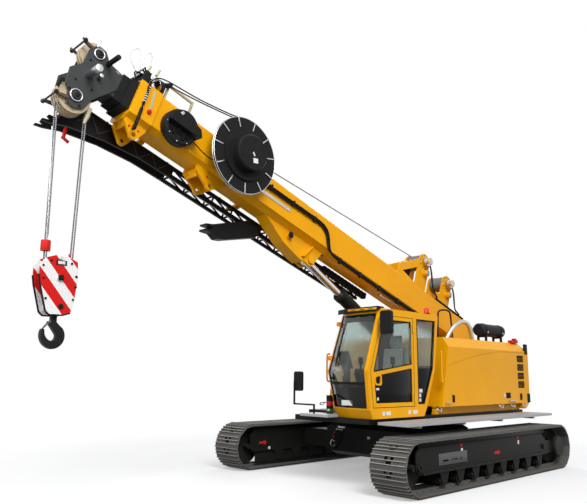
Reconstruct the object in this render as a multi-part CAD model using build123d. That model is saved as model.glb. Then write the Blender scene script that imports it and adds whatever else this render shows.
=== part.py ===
from build123d import *
import math
import os

# Crawler crane with a telescopic boom, in millimetres. X forward, Y to the machine's left, Z up.
# The origin lies on the slewing axis at ground level.

# Track and undercarriage sizes
TRACK_GAUGE = 3400.0
SHOE_WIDTH = 600.0
WHEEL_BASE = 4400.0
SHOE_COUNT = 64
TRACK_RADIUS = 352.0
GROUSER_HEIGHT = 28.0
TRACK_THICKNESS = 52.0
SEAT_GAP = 0.3
ROLLER_RADIUS = 88.0
CARRIER_RADIUS = 62.0
CARRIER_X = WHEEL_BASE / 2 - 1300.0
CARRIER_LENGTH = 180.0
ROLLER_COUNT = 8
ROLLER_PITCH = (WHEEL_BASE - 1390.0) / (ROLLER_COUNT - 1)
ROLLER_SIDES = 18
WHEEL_WIDTH = 110.0
FRAME_WIDTH = 400.0
FRAME_PLATE = 25.0
FRAME_REAR = -WHEEL_BASE / 2 + 440.0
FRAME_FRONT = WHEEL_BASE / 2 - 10.0
FRAME_LOW = 285.0
FRAME_HIGH = 632.0
FRAME_BEAM_TOP = 520.0
LEDGE_DEPTH = 40.0
AXLE_RADIUS = 45.0
CARBODY_TOP = 770.0
CARBODY_BOTTOM = 240.0
CARBODY_HALF_LENGTH = 930.0
CARBODY_HALF_WIDTH = 870.0
AXLE_BEAM_X = 700.0
AXLE_BEAM_WIDTH = 330.0
AXLE_BEAM_HEIGHT = 300.0
AXLE_BEAM_Z = 487.0
RING_RADIUS = 660.0
RING_WALL = 110.0
RING_TEETH = 56
RING_TOP = 868.0
SWIVEL_GAP = 5.0

# Upper deck, housings and catwalk
DECK_TOP = 985.0
DECK_THICKNESS = 80.0
DECK_FRONT = 1080.0
DECK_REAR = -2450.0
DECK_HALF_WIDTH = 1180.0
WEB_Y = 275.0
WEB_THICKNESS = 30.0
CATWALK_TOP = 945.0
CATWALK_THICKNESS = 40.0
CATWALK_FRONT = 2180.0
CATWALK_REAR = -2400.0
CATWALK_WIDTH = 520.0
SIDE_Y = DECK_HALF_WIDTH + 70.0
HOUSING_INNER_Y = 340.0
HOUSING_TOP = 2255.0
HOUSING_BOTTOM = 1110.0
HOUSING_WALL = 30.0
HOUSING_FRONT_TOP_X = 205.0
HOUSING_FRONT_LOW_X = 474.0
HOUSING_REAR_X = -2665.0
HOUSING_ROLL_WIDTH = 130.0
HOUSING_ROLL_HEIGHT = 165.0
SKIRT_BOTTOM = 985.3
VENT_COUNT = 4
VENT_FRONT = -2190.0
VENT_WIDTH = 270.0
VENT_HEIGHT = 130.0
VENT_PITCH = 162.0
VENT_TOP = 2008.0
VENT_DEPTH = 18.0
SEAM_WIDTH = 8.0
SEAM_DEPTH = 6.0
WEIGHT_HALF_WIDTH = 930.0
WEIGHT_THICKNESS = 340.0
WEIGHT_BOTTOM = 1000.0
WEIGHT_TOP = 1980.0

# Cab
CAB_INNER_Y = 330.0
CAB_WALL = 45.0
CAB_FLOOR = 1110.0
CAB_BASE = 985.3
CAB_ROOF = 2590.0
DOOR_REAR_X = 1245.0
DOOR_THICKNESS = 40.0
DOOR_GAP = 6.0

# Boom
LUFF_ANGLE = 18.5
FOOT_X = -2150.0
FOOT_Z = 2200.0
FOOT_PIN_RADIUS = 50.0
FOOT_BOSS_RADIUS = 135.0
BASE_HALF_WIDTH = 230.0
BASE_BOTTOM = -20.0
BASE_TOP = 480.0
BASE_WALL = 16.0
BASE_REAR = -120.0
BASE_FRONT = 8400.0
SECTION_LENGTH = 8150.0
SECTION_STEP = 60.0
SECTION_WALL = 12.0
SLIDE_GAP = 0.5
TELE_STROKE = 6900.0
HEAD_PIN_S = 9035.0
HEAD_PIN_T = -235.0
TOP_PIN_S = 8995.0
TOP_PIN_T = 440.0

# Luffing cylinder
ROD_PIN_S = 4700.0
ROD_PIN_T = -290.0
BARREL_PIN_X = -1400.0
BARREL_PIN_Z = 1235.0
BARREL_RADIUS = 112.0
BARREL_LENGTH = 3440.0
ROD_RADIUS = 62.0
ROD_EYE_RADIUS = 78.0
ROD_EYE_HALF = 70.0
BARREL_EYE_RADIUS = 112.0
CHEEK_GAP = 6.0

# Hook block and falls
SHEAVE_RADIUS = 210.0
TOP_SHEAVE_RADIUS = 190.0
SHEAVE_PITCH = 63.0
SHEAVE_WIDTH = 44.0
ROPE_RADIUS = 9.0
GROOVE_WIDTH = 24.0
GROOVE_DEPTH = 34.0
HOOK_PIN_Z = 2640.0
BLOCK_SHEAVE_RADIUS = 175.0


def at_foot(shape):
    """Puts a shape drawn with the boom level at its foot pin into its luffed place."""
    return Pos(FOOT_X, 0, FOOT_Z) * Rot(0, -LUFF_ANGLE, 0) * shape


def boom_point(s, t):
    """X and Z of a point s along the boom and t above its foot pin's line."""
    a = math.radians(LUFF_ANGLE)
    return (
        FOOT_X + s * math.cos(a) - t * math.sin(a),
        FOOT_Z + s * math.sin(a) + t * math.cos(a),
    )


def block(x0, x1, y0, y1, z0, z1):
    return Pos((x0 + x1) / 2, (y0 + y1) / 2, (z0 + z1) / 2) * Box(x1 - x0, y1 - y0, z1 - z0)


def side_plate(points, y0, y1, radius=0.0):
    """A plate whose outline is a list of X, Z points, from y0 to y1, with rounded corners if asked."""
    outline = Face(Wire.make_polygon([(x, y0, z) for x, z in points], close=True))
    if radius:
        outline = outline.fillet_2d(radius, outline.vertices())
    return extrude(outline, amount=y1 - y0, dir=(0, 1, 0))


def front_plate(points, x0, x1, radius=0.0):
    """A plate whose outline is a list of Y, Z points, from x0 to x1, with rounded corners if asked."""
    outline = Face(Wire.make_polygon([(x0, y, z) for y, z in points], close=True))
    if radius:
        outline = outline.fillet_2d(radius, outline.vertices())
    return extrude(outline, amount=x1 - x0, dir=(1, 0, 0))


def top_plate(points, z0, z1):
    """A plate whose outline is a list of X, Y points, from z0 to z1."""
    outline = Wire.make_polygon([(x, y, z0) for x, y in points], close=True)
    return extrude(Face(outline), amount=z1 - z0, dir=(0, 0, 1))


def pin_y(x, z, radius, y0, y1):
    return Pos(x, (y0 + y1) / 2, z) * Rot(90, 0, 0) * Cylinder(radius, y1 - y0)


def pin_x(x0, x1, y, z, radius):
    return Pos((x0 + x1) / 2, y, z) * Rot(0, 90, 0) * Cylinder(radius, x1 - x0)


def pin_z(x, y, radius, z0, z1):
    return Pos(x, y, (z0 + z1) / 2) * Cylinder(radius, z1 - z0)


def rod_between(a, b, radius):
    """A round bar from point a to point b."""
    start = Vector(*a)
    line = Vector(*b) - start
    base = Plane(origin=start, z_dir=line)
    return extrude(base * Circle(radius), amount=line.length)


def square_bar(a, b, size):
    """A square bar from point a to point b."""
    start = Vector(*a)
    line = Vector(*b) - start
    base = Plane(origin=start, z_dir=line)
    return extrude(base * Rectangle(size, size), amount=line.length)


pieces = {}

# Tracks. Each shoe is drawn as eight points: place along the shoe and height above its plate.
TRACK_Z = TRACK_RADIUS + GROUSER_HEIGHT
SHOE_PROFILE = (
    (0.02, -12.0),
    (0.09, GROUSER_HEIGHT),
    (0.18, 0.0),
    (0.44, 0.0),
    (0.52, GROUSER_HEIGHT - 5),
    (0.60, 0.0),
    (0.84, 0.0),
    (0.93, GROUSER_HEIGHT),
)


def track_point(place, height):
    """A point of the loop at a place along its plate line, at a height outside of it."""
    straight = WHEEL_BASE
    turn = math.pi * TRACK_RADIUS
    place = place % (2 * straight + 2 * turn)
    r = TRACK_RADIUS + height
    if place < straight:
        return (WHEEL_BASE / 2 - place, TRACK_Z - r)
    if place < straight + turn:
        a = -math.pi / 2 - (place - straight) / TRACK_RADIUS
        return (-WHEEL_BASE / 2 + r * math.cos(a), TRACK_Z + r * math.sin(a))
    if place < 2 * straight + turn:
        return (-WHEEL_BASE / 2 + place - straight - turn, TRACK_Z + r)
    a = math.pi / 2 - (place - 2 * straight - turn) / TRACK_RADIUS
    return (WHEEL_BASE / 2 + r * math.cos(a), TRACK_Z + r * math.sin(a))


def track_loop(y_centre):
    length = 2 * WHEEL_BASE + 2 * math.pi * TRACK_RADIUS
    pitch = length / SHOE_COUNT
    outline = []
    for shoe in range(SHOE_COUNT):
        for share, height in SHOE_PROFILE:
            outline.append(track_point((shoe + share) * pitch, height))
    loop = side_plate(outline, y_centre - SHOE_WIDTH / 2, y_centre + SHOE_WIDTH / 2)
    inner = TRACK_RADIUS - TRACK_THICKNESS
    hollow = block(
        -WHEEL_BASE / 2, WHEEL_BASE / 2, y_centre - SHOE_WIDTH, y_centre + SHOE_WIDTH,
        TRACK_Z - inner, TRACK_Z + inner,
    )
    for x in (-WHEEL_BASE / 2, WHEEL_BASE / 2):
        hollow += pin_y(x, TRACK_Z, inner, y_centre - SHOE_WIDTH, y_centre + SHOE_WIDTH)
    return loop - hollow


def track_frame(y_centre):
    """Side frame: a beam between two side plates that hold the wheels, the rollers and the carriers."""
    half = FRAME_WIDTH / 2
    side = 1 if y_centre > 0 else -1
    hollow_radius = TRACK_RADIUS - TRACK_THICKNESS
    beam_points = (
        (FRAME_REAR, FRAME_LOW), (FRAME_FRONT - 420, FRAME_LOW), (FRAME_FRONT - 420, FRAME_BEAM_TOP),
        (FRAME_REAR + 120, FRAME_BEAM_TOP), (FRAME_REAR, FRAME_BEAM_TOP - 90),
    )
    frame = side_plate(beam_points, y_centre - half, y_centre + half)
    plate_points = (
        (FRAME_REAR, FRAME_LOW), (FRAME_FRONT - 60, FRAME_LOW), (FRAME_FRONT, FRAME_LOW + 70),
        (FRAME_FRONT, FRAME_HIGH - 60), (FRAME_FRONT - 70, FRAME_HIGH), (FRAME_REAR + 160, FRAME_HIGH),
        (FRAME_REAR, FRAME_HIGH - 110),
    )
    arm_points = (
        (FRAME_REAR + 40, FRAME_LOW), (-WHEEL_BASE / 2, FRAME_LOW + 15), (-WHEEL_BASE / 2, TRACK_Z + 80),
        (FRAME_REAR + 40, TRACK_Z + 130),
    )
    skirt_low = TRACK_Z - hollow_radius + ROLLER_RADIUS - 48
    for face in (-1, 1):
        edge = y_centre + face * half
        y0, y1 = sorted((edge, edge - face * FRAME_PLATE))
        frame += side_plate(plate_points, y0, y1)
        frame += side_plate(arm_points, y0, y1)
        for n in range(ROLLER_COUNT):
            x = (n - (ROLLER_COUNT - 1) / 2) * ROLLER_PITCH
            frame += side_plate(
                ((x - 120, FRAME_LOW), (x + 120, FRAME_LOW), (x + 55, skirt_low), (x - 55, skirt_low)), y0, y1
            )
    # carrier roller stands between the plates
    carrier_z = TRACK_Z + hollow_radius - CARRIER_RADIUS - SEAT_GAP
    for x in (-CARRIER_X, CARRIER_X):
        for face in (-1, 1):
            y0, y1 = sorted((y_centre + face * (half - FRAME_PLATE), y_centre + face * (CARRIER_LENGTH / 2 + SEAT_GAP)))
            frame += block(x - 45, x + 45, y0, y1, FRAME_BEAM_TOP, carrier_z + 20)
    # ledge, ring and catch along the outside, and the cover of the drive
    edge = y_centre + side * half
    y0, y1 = sorted((edge, edge + side * LEDGE_DEPTH))
    frame += block(FRAME_REAR + 30, FRAME_FRONT - 120, y0, y1, FRAME_LOW, FRAME_LOW + 24)
    y0, y1 = sorted((edge, edge + side * 30))
    ring_x = FRAME_FRONT - 65
    frame += pin_y(ring_x, TRACK_Z + 5, 52, y0, y1) - pin_y(ring_x, TRACK_Z + 5, 24, y0, y1)
    frame += block(FRAME_REAR + 45, FRAME_REAR + 135, y0, y1, TRACK_Z - 10, TRACK_Z + 70)
    y0, y1 = sorted((edge, edge + side * 62))
    cover = pin_y(-WHEEL_BASE / 2, TRACK_Z, 190, y0, y1)
    outer_rim = [e for e in cover.edges().filter_by(GeomType.CIRCLE) if abs(e.center().Y - edge) > 50]
    frame += chamfer(outer_rim, 24)
    return frame


def many_sided(x, z, radius, sides, y0, y1):
    """A bar along Y with flat sides whose corners lie on the radius; one corner points straight down and one up."""
    points = []
    for n in range(sides):
        a = math.pi / 2 + 2 * math.pi * n / sides
        points.append((x + radius * math.cos(a), z + radius * math.sin(a)))
    return side_plate(points, y0, y1)


def toothed_disc(x, z, radius, depth, teeth, y0, y1):
    outline = []
    for n in range(teeth):
        for share, r in ((0.0, radius - depth), (0.25, radius - depth), (0.4, radius), (0.8, radius)):
            a = 2 * math.pi * (n + share) / teeth
            outline.append((x + r * math.cos(a), z + r * math.sin(a)))
    return side_plate(outline, y0, y1)


wheels = []
rollers = []
INNER_RADIUS = TRACK_RADIUS - TRACK_THICKNESS
CLEAR_HALF = FRAME_WIDTH / 2 - FRAME_PLATE - SEAT_GAP
for name, side in (("left", 1), ("right", -1)):
    yc = side * TRACK_GAUGE / 2
    pieces["track_" + name] = track_loop(yc)
    pieces["track_frame_" + name] = track_frame(yc)
    wheel = pin_y(WHEEL_BASE / 2, TRACK_Z, INNER_RADIUS - SEAT_GAP, yc - WHEEL_WIDTH / 2, yc + WHEEL_WIDTH / 2)
    wheel += pin_y(WHEEL_BASE / 2, TRACK_Z, AXLE_RADIUS, yc - CLEAR_HALF, yc + CLEAR_HALF)
    wheels.append(wheel)
    wheel = toothed_disc(
        -WHEEL_BASE / 2, TRACK_Z, INNER_RADIUS - SEAT_GAP, 34, 20, yc - WHEEL_WIDTH / 2, yc + WHEEL_WIDTH / 2
    )
    wheel += pin_y(-WHEEL_BASE / 2, TRACK_Z, AXLE_RADIUS + 60, yc - CLEAR_HALF, yc + CLEAR_HALF)
    wheels.append(wheel)
    roller_z = TRACK_Z - INNER_RADIUS + ROLLER_RADIUS + SEAT_GAP
    for n in range(ROLLER_COUNT):
        x = (n - (ROLLER_COUNT - 1) / 2) * ROLLER_PITCH
        rollers.append(many_sided(x, roller_z, ROLLER_RADIUS, ROLLER_SIDES, yc - CLEAR_HALF, yc + CLEAR_HALF))
    carrier_z = TRACK_Z + INNER_RADIUS - CARRIER_RADIUS - SEAT_GAP
    for x in (-CARRIER_X, CARRIER_X):
        rollers.append(
            many_sided(x, carrier_z, CARRIER_RADIUS, ROLLER_SIDES, yc - CARRIER_LENGTH / 2, yc + CARRIER_LENGTH / 2)
        )
pieces["track_wheels"] = Compound(children=wheels)
pieces["track_rollers"] = Compound(children=rollers)

# Carbody with its two axle beams, and the slew ring on it
FRAME_INNER_Y = TRACK_GAUGE / 2 - FRAME_WIDTH / 2
body_points = (
    (-CARBODY_HALF_LENGTH, CARBODY_BOTTOM + 60), (-CARBODY_HALF_LENGTH + 90, CARBODY_BOTTOM),
    (CARBODY_HALF_LENGTH - 90, CARBODY_BOTTOM), (CARBODY_HALF_LENGTH, CARBODY_BOTTOM + 60),
    (CARBODY_HALF_LENGTH, CARBODY_TOP - 70), (CARBODY_HALF_LENGTH - 120, CARBODY_TOP),
    (-CARBODY_HALF_LENGTH + 120, CARBODY_TOP), (-CARBODY_HALF_LENGTH, CARBODY_TOP - 70),
)
carbody = side_plate(body_points, -CARBODY_HALF_WIDTH, CARBODY_HALF_WIDTH)
body_front = (
    (-CARBODY_HALF_WIDTH + 150, CARBODY_BOTTOM), (CARBODY_HALF_WIDTH - 150, CARBODY_BOTTOM),
    (CARBODY_HALF_WIDTH, CARBODY_BOTTOM + 160), (CARBODY_HALF_WIDTH, CARBODY_TOP - 80),
    (CARBODY_HALF_WIDTH - 70, CARBODY_TOP), (-CARBODY_HALF_WIDTH + 70, CARBODY_TOP),
    (-CARBODY_HALF_WIDTH, CARBODY_TOP - 80), (-CARBODY_HALF_WIDTH, CARBODY_BOTTOM + 160),
)
carbody = carbody & front_plate(body_front, -CARBODY_HALF_LENGTH, CARBODY_HALF_LENGTH)
for x in (-AXLE_BEAM_X, AXLE_BEAM_X):
    carbody += block(
        x - AXLE_BEAM_WIDTH / 2, x + AXLE_BEAM_WIDTH / 2, -FRAME_INNER_Y, FRAME_INNER_Y,
        AXLE_BEAM_Z - AXLE_BEAM_HEIGHT / 2, AXLE_BEAM_Z + AXLE_BEAM_HEIGHT / 2,
    )
pieces["carbody"] = carbody
teeth = []
for n in range(RING_TEETH):
    for share, r in ((0.0, RING_RADIUS - 22), (0.2, RING_RADIUS - 22), (0.38, RING_RADIUS), (0.82, RING_RADIUS)):
        a = 2 * math.pi * (n + share) / RING_TEETH
        teeth.append((r * math.cos(a), r * math.sin(a)))
ring = top_plate(teeth, CARBODY_TOP, RING_TOP - 20)
ring += pin_z(0, 0, RING_RADIUS - 30, RING_TOP - 20, RING_TOP)
pieces["slew_ring"] = ring - pin_z(0, 0, RING_RADIUS - RING_WALL, CARBODY_TOP, RING_TOP)

# Slew deck: floor, two long web plates with the boom's foot bosses, and the cylinder's foot
DECK_BOTTOM = DECK_TOP - DECK_THICKNESS
deck_outline = (
    (DECK_REAR, -DECK_HALF_WIDTH), (DECK_FRONT, -DECK_HALF_WIDTH), (DECK_FRONT, -300.0), (2300.0, -300.0),
    (2300.0, DECK_HALF_WIDTH), (DECK_REAR, DECK_HALF_WIDTH),
)
deck = top_plate(deck_outline, DECK_BOTTOM, DECK_TOP)
deck += pin_z(0, 0, RING_RADIUS + 15, RING_TOP + SEAT_GAP, DECK_BOTTOM)
web_points = (
    (DECK_REAR, DECK_TOP), (900.0, DECK_TOP), (800.0, 1130.0), (-700.0, 1420.0),
    (FOOT_X + 330, 1950.0), (FOOT_X + 125, FOOT_Z + 60), (FOOT_X - 125, FOOT_Z + 60), (DECK_REAR + 40, 1800.0),
    (DECK_REAR, 1600.0),
)
for side in (-1, 1):
    y0, y1 = sorted((side * WEB_Y, side * (WEB_Y + WEB_THICKNESS)))
    deck += side_plate(web_points, y0, y1)
    deck += pin_y(FOOT_X, FOOT_Z, FOOT_BOSS_RADIUS, y0, y1)
    deck -= pin_y(FOOT_X, FOOT_Z, FOOT_PIN_RADIUS + SEAT_GAP, y0 - 1, y1 + 1)
CLEVIS_INNER = 120.0
CLEVIS_OUTER = 150.0
for side in (-1, 1):
    y0, y1 = sorted((side * CLEVIS_INNER, side * CLEVIS_OUTER))
    clevis = (
        (BARREL_PIN_X - 230, DECK_TOP), (BARREL_PIN_X + 230, DECK_TOP),
        (BARREL_PIN_X + 110, BARREL_PIN_Z), (BARREL_PIN_X + 60, BARREL_PIN_Z + 95),
        (BARREL_PIN_X - 60, BARREL_PIN_Z + 95), (BARREL_PIN_X - 110, BARREL_PIN_Z),
    )
    deck += side_plate(clevis, y0, y1)
deck += pin_y(BARREL_PIN_X, BARREL_PIN_Z, 45, -CLEVIS_OUTER, CLEVIS_OUTER)
pieces["slew_deck"] = deck

# Counterweight behind the housings
weight_front = HOUSING_REAR_X - 6
weight_rear = weight_front - WEIGHT_THICKNESS
tongue_y = HOUSING_INNER_Y - 8
tongue_x = DECK_REAR - SEAT_GAP
weight_edges = [
    Line((tongue_x, -tongue_y, WEIGHT_BOTTOM), (tongue_x, tongue_y, WEIGHT_BOTTOM)),
    Line((tongue_x, tongue_y, WEIGHT_BOTTOM), (weight_front, tongue_y, WEIGHT_BOTTOM)),
    Line((weight_front, tongue_y, WEIGHT_BOTTOM), (weight_front, WEIGHT_HALF_WIDTH, WEIGHT_BOTTOM)),
    Line((weight_front, WEIGHT_HALF_WIDTH, WEIGHT_BOTTOM), (weight_rear + 150, WEIGHT_HALF_WIDTH, WEIGHT_BOTTOM)),
    ThreePointArc(
        (weight_rear + 150, WEIGHT_HALF_WIDTH, WEIGHT_BOTTOM), (weight_rear, 0, WEIGHT_BOTTOM),
        (weight_rear + 150, -WEIGHT_HALF_WIDTH, WEIGHT_BOTTOM),
    ),
    Line((weight_rear + 150, -WEIGHT_HALF_WIDTH, WEIGHT_BOTTOM), (weight_front, -WEIGHT_HALF_WIDTH, WEIGHT_BOTTOM)),
    Line((weight_front, -WEIGHT_HALF_WIDTH, WEIGHT_BOTTOM), (weight_front, -tongue_y, WEIGHT_BOTTOM)),
    Line((weight_front, -tongue_y, WEIGHT_BOTTOM), (tongue_x, -tongue_y, WEIGHT_BOTTOM)),
]
weight = extrude(Face(Wire(weight_edges)), amount=WEIGHT_TOP - WEIGHT_BOTTOM, dir=(0, 0, 1))
rim = [e for e in weight.edges().filter_by(GeomType.CIRCLE)]
pieces["counterweight"] = chamfer(rim, 45)


def side_seam(side):
    """Groove round the large side door: a rising arc, a straight run and a drop at the rear."""
    y = side * SIDE_Y
    y0, y1 = sorted((y, y - side * SEAM_DEPTH))
    w = SEAM_WIDTH
    front = (HOUSING_FRONT_LOW_X - 190, y0, 1766.0)
    middle = (-640.0, y0, 1958.0)
    crest = (-1537.0, y0, 2063.0)
    rear = (HOUSING_REAR_X + 130, y0, 2070.0)
    edges = [
        ThreePointArc(front, middle, crest),
        Line(crest, rear),
        Line(rear, (rear[0], y0, rear[2] - w)),
        Line((rear[0], y0, rear[2] - w), (crest[0], y0, crest[2] - w)),
        ThreePointArc((crest[0], y0, crest[2] - w), (middle[0], y0, middle[2] - w), (front[0], y0, front[2] - w)),
        Line((front[0], y0, front[2] - w), front),
    ]
    groove = extrude(Face(Wire(edges)), amount=y1 - y0, dir=(0, 1, 0))
    return groove + block(rear[0], rear[0] + w, y0, y1, HOUSING_BOTTOM, rear[2])


def housing(side):
    """A hood of plates: its side outline crossed with its front outline, hollow inside, with vents at the rear."""
    outline = (
        (HOUSING_FRONT_LOW_X, HOUSING_BOTTOM), (HOUSING_FRONT_TOP_X, HOUSING_TOP), (HOUSING_REAR_X + 170, HOUSING_TOP),
        (HOUSING_REAR_X, HOUSING_TOP - 172), (HOUSING_REAR_X + 22, HOUSING_BOTTOM + 31),
        (HOUSING_REAR_X + 50, HOUSING_BOTTOM),
    )
    y0, y1 = sorted((side * HOUSING_INNER_Y, side * SIDE_Y))
    hood = side_plate(outline, y0, y1)
    section = (
        (side * HOUSING_INNER_Y, HOUSING_BOTTOM), (side * SIDE_Y, HOUSING_BOTTOM),
        (side * SIDE_Y, HOUSING_TOP - HOUSING_ROLL_HEIGHT), (side * (SIDE_Y - HOUSING_ROLL_WIDTH), HOUSING_TOP),
        (side * HOUSING_INNER_Y, HOUSING_TOP),
    )
    hood = hood & front_plate(section, HOUSING_REAR_X - 10, HOUSING_FRONT_LOW_X + 10)
    inner_outline = (
        (HOUSING_FRONT_LOW_X - 60, HOUSING_BOTTOM + HOUSING_WALL), (HOUSING_FRONT_TOP_X - 50, HOUSING_TOP - 200),
        (HOUSING_REAR_X + 80, HOUSING_TOP - 200), (HOUSING_REAR_X + 90, HOUSING_BOTTOM + HOUSING_WALL),
    )
    i0, i1 = sorted((side * (HOUSING_INNER_Y + HOUSING_WALL), side * (SIDE_Y - 60)))
    hood -= side_plate(inner_outline, i0, i1)
    v0, v1 = sorted((side * (SIDE_Y - VENT_DEPTH), side * (SIDE_Y + 5)))
    for n in range(VENT_COUNT):
        top = VENT_TOP - n * VENT_PITCH
        vent = (
            (VENT_FRONT, top), (VENT_FRONT - VENT_WIDTH, top), (VENT_FRONT - VENT_WIDTH, top - VENT_HEIGHT),
            (VENT_FRONT, top - VENT_HEIGHT),
        )
        hood -= side_plate(vent, v0, v1, radius=22)
    hood -= side_seam(side)
    skirt = (
        (HOUSING_FRONT_LOW_X, HOUSING_BOTTOM), (HOUSING_FRONT_LOW_X + 40, SKIRT_BOTTOM),
        (HOUSING_REAR_X + 230, SKIRT_BOTTOM), (HOUSING_REAR_X + 80, HOUSING_BOTTOM),
    )
    s0, s1 = sorted((side * (DECK_HALF_WIDTH - 120), side * (DECK_HALF_WIDTH - 60)))
    hood += side_plate(skirt, s0, s1)
    corner = (
        (HOUSING_REAR_X + 50, HOUSING_BOTTOM), (HOUSING_REAR_X + 190, SKIRT_BOTTOM + 20),
        (HOUSING_REAR_X + 290, SKIRT_BOTTOM + 20), (HOUSING_REAR_X + 290, HOUSING_BOTTOM),
    )
    c0, c1 = sorted((side * (DECK_HALF_WIDTH - 60), side * SIDE_Y))
    hood += side_plate(corner, c0, c1)
    return hood


pieces["housing_left"] = housing(1)
pieces["housing_right"] = housing(-1)
pieces["engine_block"] = block(-1900, -700, HOUSING_INNER_Y + 140, SIDE_Y - 170, HOUSING_BOTTOM + HOUSING_WALL, 1900)

MUFFLER_Y = SIDE_Y - 320.0
MUFFLER_Z = 2475.0
MUFFLER_RADIUS = 120.0
muffler = pin_x(-2200, -1330, MUFFLER_Y, MUFFLER_Z, MUFFLER_RADIUS)
muffler = chamfer(muffler.edges().filter_by(GeomType.CIRCLE), 30)
for x in (-2060, -1480):
    muffler += pin_x(x - 18, x + 18, MUFFLER_Y, MUFFLER_Z, MUFFLER_RADIUS + 8)
for x in (-2060, -1480):
    saddle = (
        (MUFFLER_Y - 100, HOUSING_TOP), (MUFFLER_Y - 60, HOUSING_TOP), (MUFFLER_Y - 60, HOUSING_TOP + 80),
        (MUFFLER_Y + 60, HOUSING_TOP + 80), (MUFFLER_Y + 60, HOUSING_TOP), (MUFFLER_Y + 100, HOUSING_TOP),
        (MUFFLER_Y + 100, MUFFLER_Z - 40), (MUFFLER_Y - 100, MUFFLER_Z - 40),
    )
    muffler += front_plate(saddle, x - 15, x + 15)
pieces["muffler"] = muffler
FILLER_Y = SIDE_Y - 125.0
cap = block(-2330, -2190, FILLER_Y - 40, FILLER_Y + 40, HOUSING_TOP, HOUSING_TOP + 50)
cap += block(-2430, -2330, FILLER_Y - 50, FILLER_Y + 50, HOUSING_TOP, HOUSING_TOP + 62)
cap += pin_z(-2380, FILLER_Y, 46, HOUSING_TOP + 62, HOUSING_TOP + 92)
pieces["filler_cap"] = cap

# Catwalk along the left side, and the step in front of the deck
walk = block(CATWALK_REAR, CATWALK_FRONT, SIDE_Y + 5, SIDE_Y + 5 + CATWALK_WIDTH, CATWALK_TOP - CATWALK_THICKNESS, CATWALK_TOP)
for x in (-1900, -700, 500, 1700):
    walk += block(x - 40, x + 40, DECK_HALF_WIDTH - 160, SIDE_Y + 400, DECK_BOTTOM - 45, DECK_BOTTOM)
STEP_TOP = DECK_TOP + 40.0
step = block(2290, 2520, 30, 600, DECK_TOP + SEAT_GAP, STEP_TOP) + block(2165, 2290, 30, 225, DECK_TOP + SEAT_GAP, STEP_TOP)
pieces["catwalk"] = Compound(children=[walk, step])

# Cab: walls of lofted plate whose front draws back towards the boom; the door is a piece of its own
CAB_STATIONS = (  # y, share of the front's set-back
    (SIDE_Y, 0.0),
    (SIDE_Y - 450.0, 0.12),
    (CAB_INNER_Y + 190.0, 0.45),
    (CAB_INNER_Y, 1.0),
)
CAB_SET_BACK = (  # z, set-back of the front at the boom side
    (CAB_BASE, 250.0),
    (CAB_FLOOR, 270.0),
    (1660.0, 170.0),
    (2545.0, 210.0),
    (CAB_ROOF, 200.0),
)
CAB_SIDE = (  # x, z, part of the set-back that the point takes
    (2280.0, CAB_BASE, 1.0),
    (2340.0, CAB_FLOOR, 1.0),
    (2395.0, 1660.0, 1.0),
    (2075.0, 2545.0, 1.0),
    (2040.0, CAB_ROOF, 1.0),
    (560.0, CAB_ROOF, 0.0),
    (530.0, 2560.0, 0.0),
    (665.0, 1710.0, 0.0),
    (915.0, 1120.0, 0.0),
    (1000.0, CAB_BASE, 0.0),
)
WINDOW_TOP = CAB_ROOF - 105.0
WINDSCREEN_TOP = CAB_ROOF - 75.0
WINDSCREEN_SPLIT = 1480.0
ROOM_TOP = CAB_ROOF - 70.0
GLASS = 8.0


def between(rows, value):
    """Reads a table of pairs by straight lines; the first number of its rows rises or falls steadily."""
    rows = sorted(rows)
    for (a, fa), (b, fb) in zip(rows, rows[1:]):
        if value <= b:
            return fa + (fb - fa) * (max(value, a) - a) / (b - a)
    return rows[-1][1]


def cab_loft(points, y0, y1):
    """Straight-ruled loft along Y of an outline in X and Z whose front points take the cab's set-back."""
    stations = sorted({y0, y1} | {y for y, share in CAB_STATIONS if y0 < y < y1})
    faces = []
    for y in stations:
        share = between(CAB_STATIONS, y)
        outline = [(x - part * share * between(CAB_SET_BACK, z), y, z) for x, z, part in points]
        faces.append(Face(Wire.make_polygon(outline, close=True)))
    return loft(faces, ruled=True)


cab = cab_loft(CAB_SIDE, CAB_INNER_Y, SIDE_Y)
cab_room = (
    (2280.0, CAB_FLOOR, 1.0), (2340.0, 1660.0, 1.0), (2030.0, ROOM_TOP, 1.0), (600.0, ROOM_TOP, 0.0),
    (720.0, 1710.0, 0.0), (970.0, CAB_FLOOR, 0.0),
)
cab -= cab_loft(cab_room, CAB_INNER_Y + CAB_WALL, SIDE_Y - CAB_WALL)
door_hole = (
    (2265.0, CAB_FLOOR + 30), (2322.0, 1655.0), (2035.0, WINDOW_TOP), (DOOR_REAR_X, WINDOW_TOP),
    (DOOR_REAR_X, CAB_FLOOR + 30),
)
cab -= side_plate(door_hole, SIDE_Y - CAB_WALL - 5, SIDE_Y + 5)
REAR_WINDOW = (
    (1150.0, CAB_FLOOR + 60), (1150.0, WINDOW_TOP), (625.0, WINDOW_TOP), (730.0, 1715.0), (985.0, CAB_FLOOR + 60),
)
cab -= side_plate(REAR_WINDOW, SIDE_Y - CAB_WALL - 5, SIDE_Y + 5)
RIGHT_WINDOW = (
    (2000.0, CAB_FLOOR + 300), (2100.0, 1655.0), (1780.0, WINDOW_TOP), (1000.0, WINDOW_TOP), (1000.0, CAB_FLOOR + 300),
)
cab -= side_plate(RIGHT_WINDOW, CAB_INNER_Y - 5, CAB_INNER_Y + CAB_WALL + 5)
WIND_Y0 = CAB_INNER_Y + 40
WIND_Y1 = SIDE_Y - 60


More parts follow.
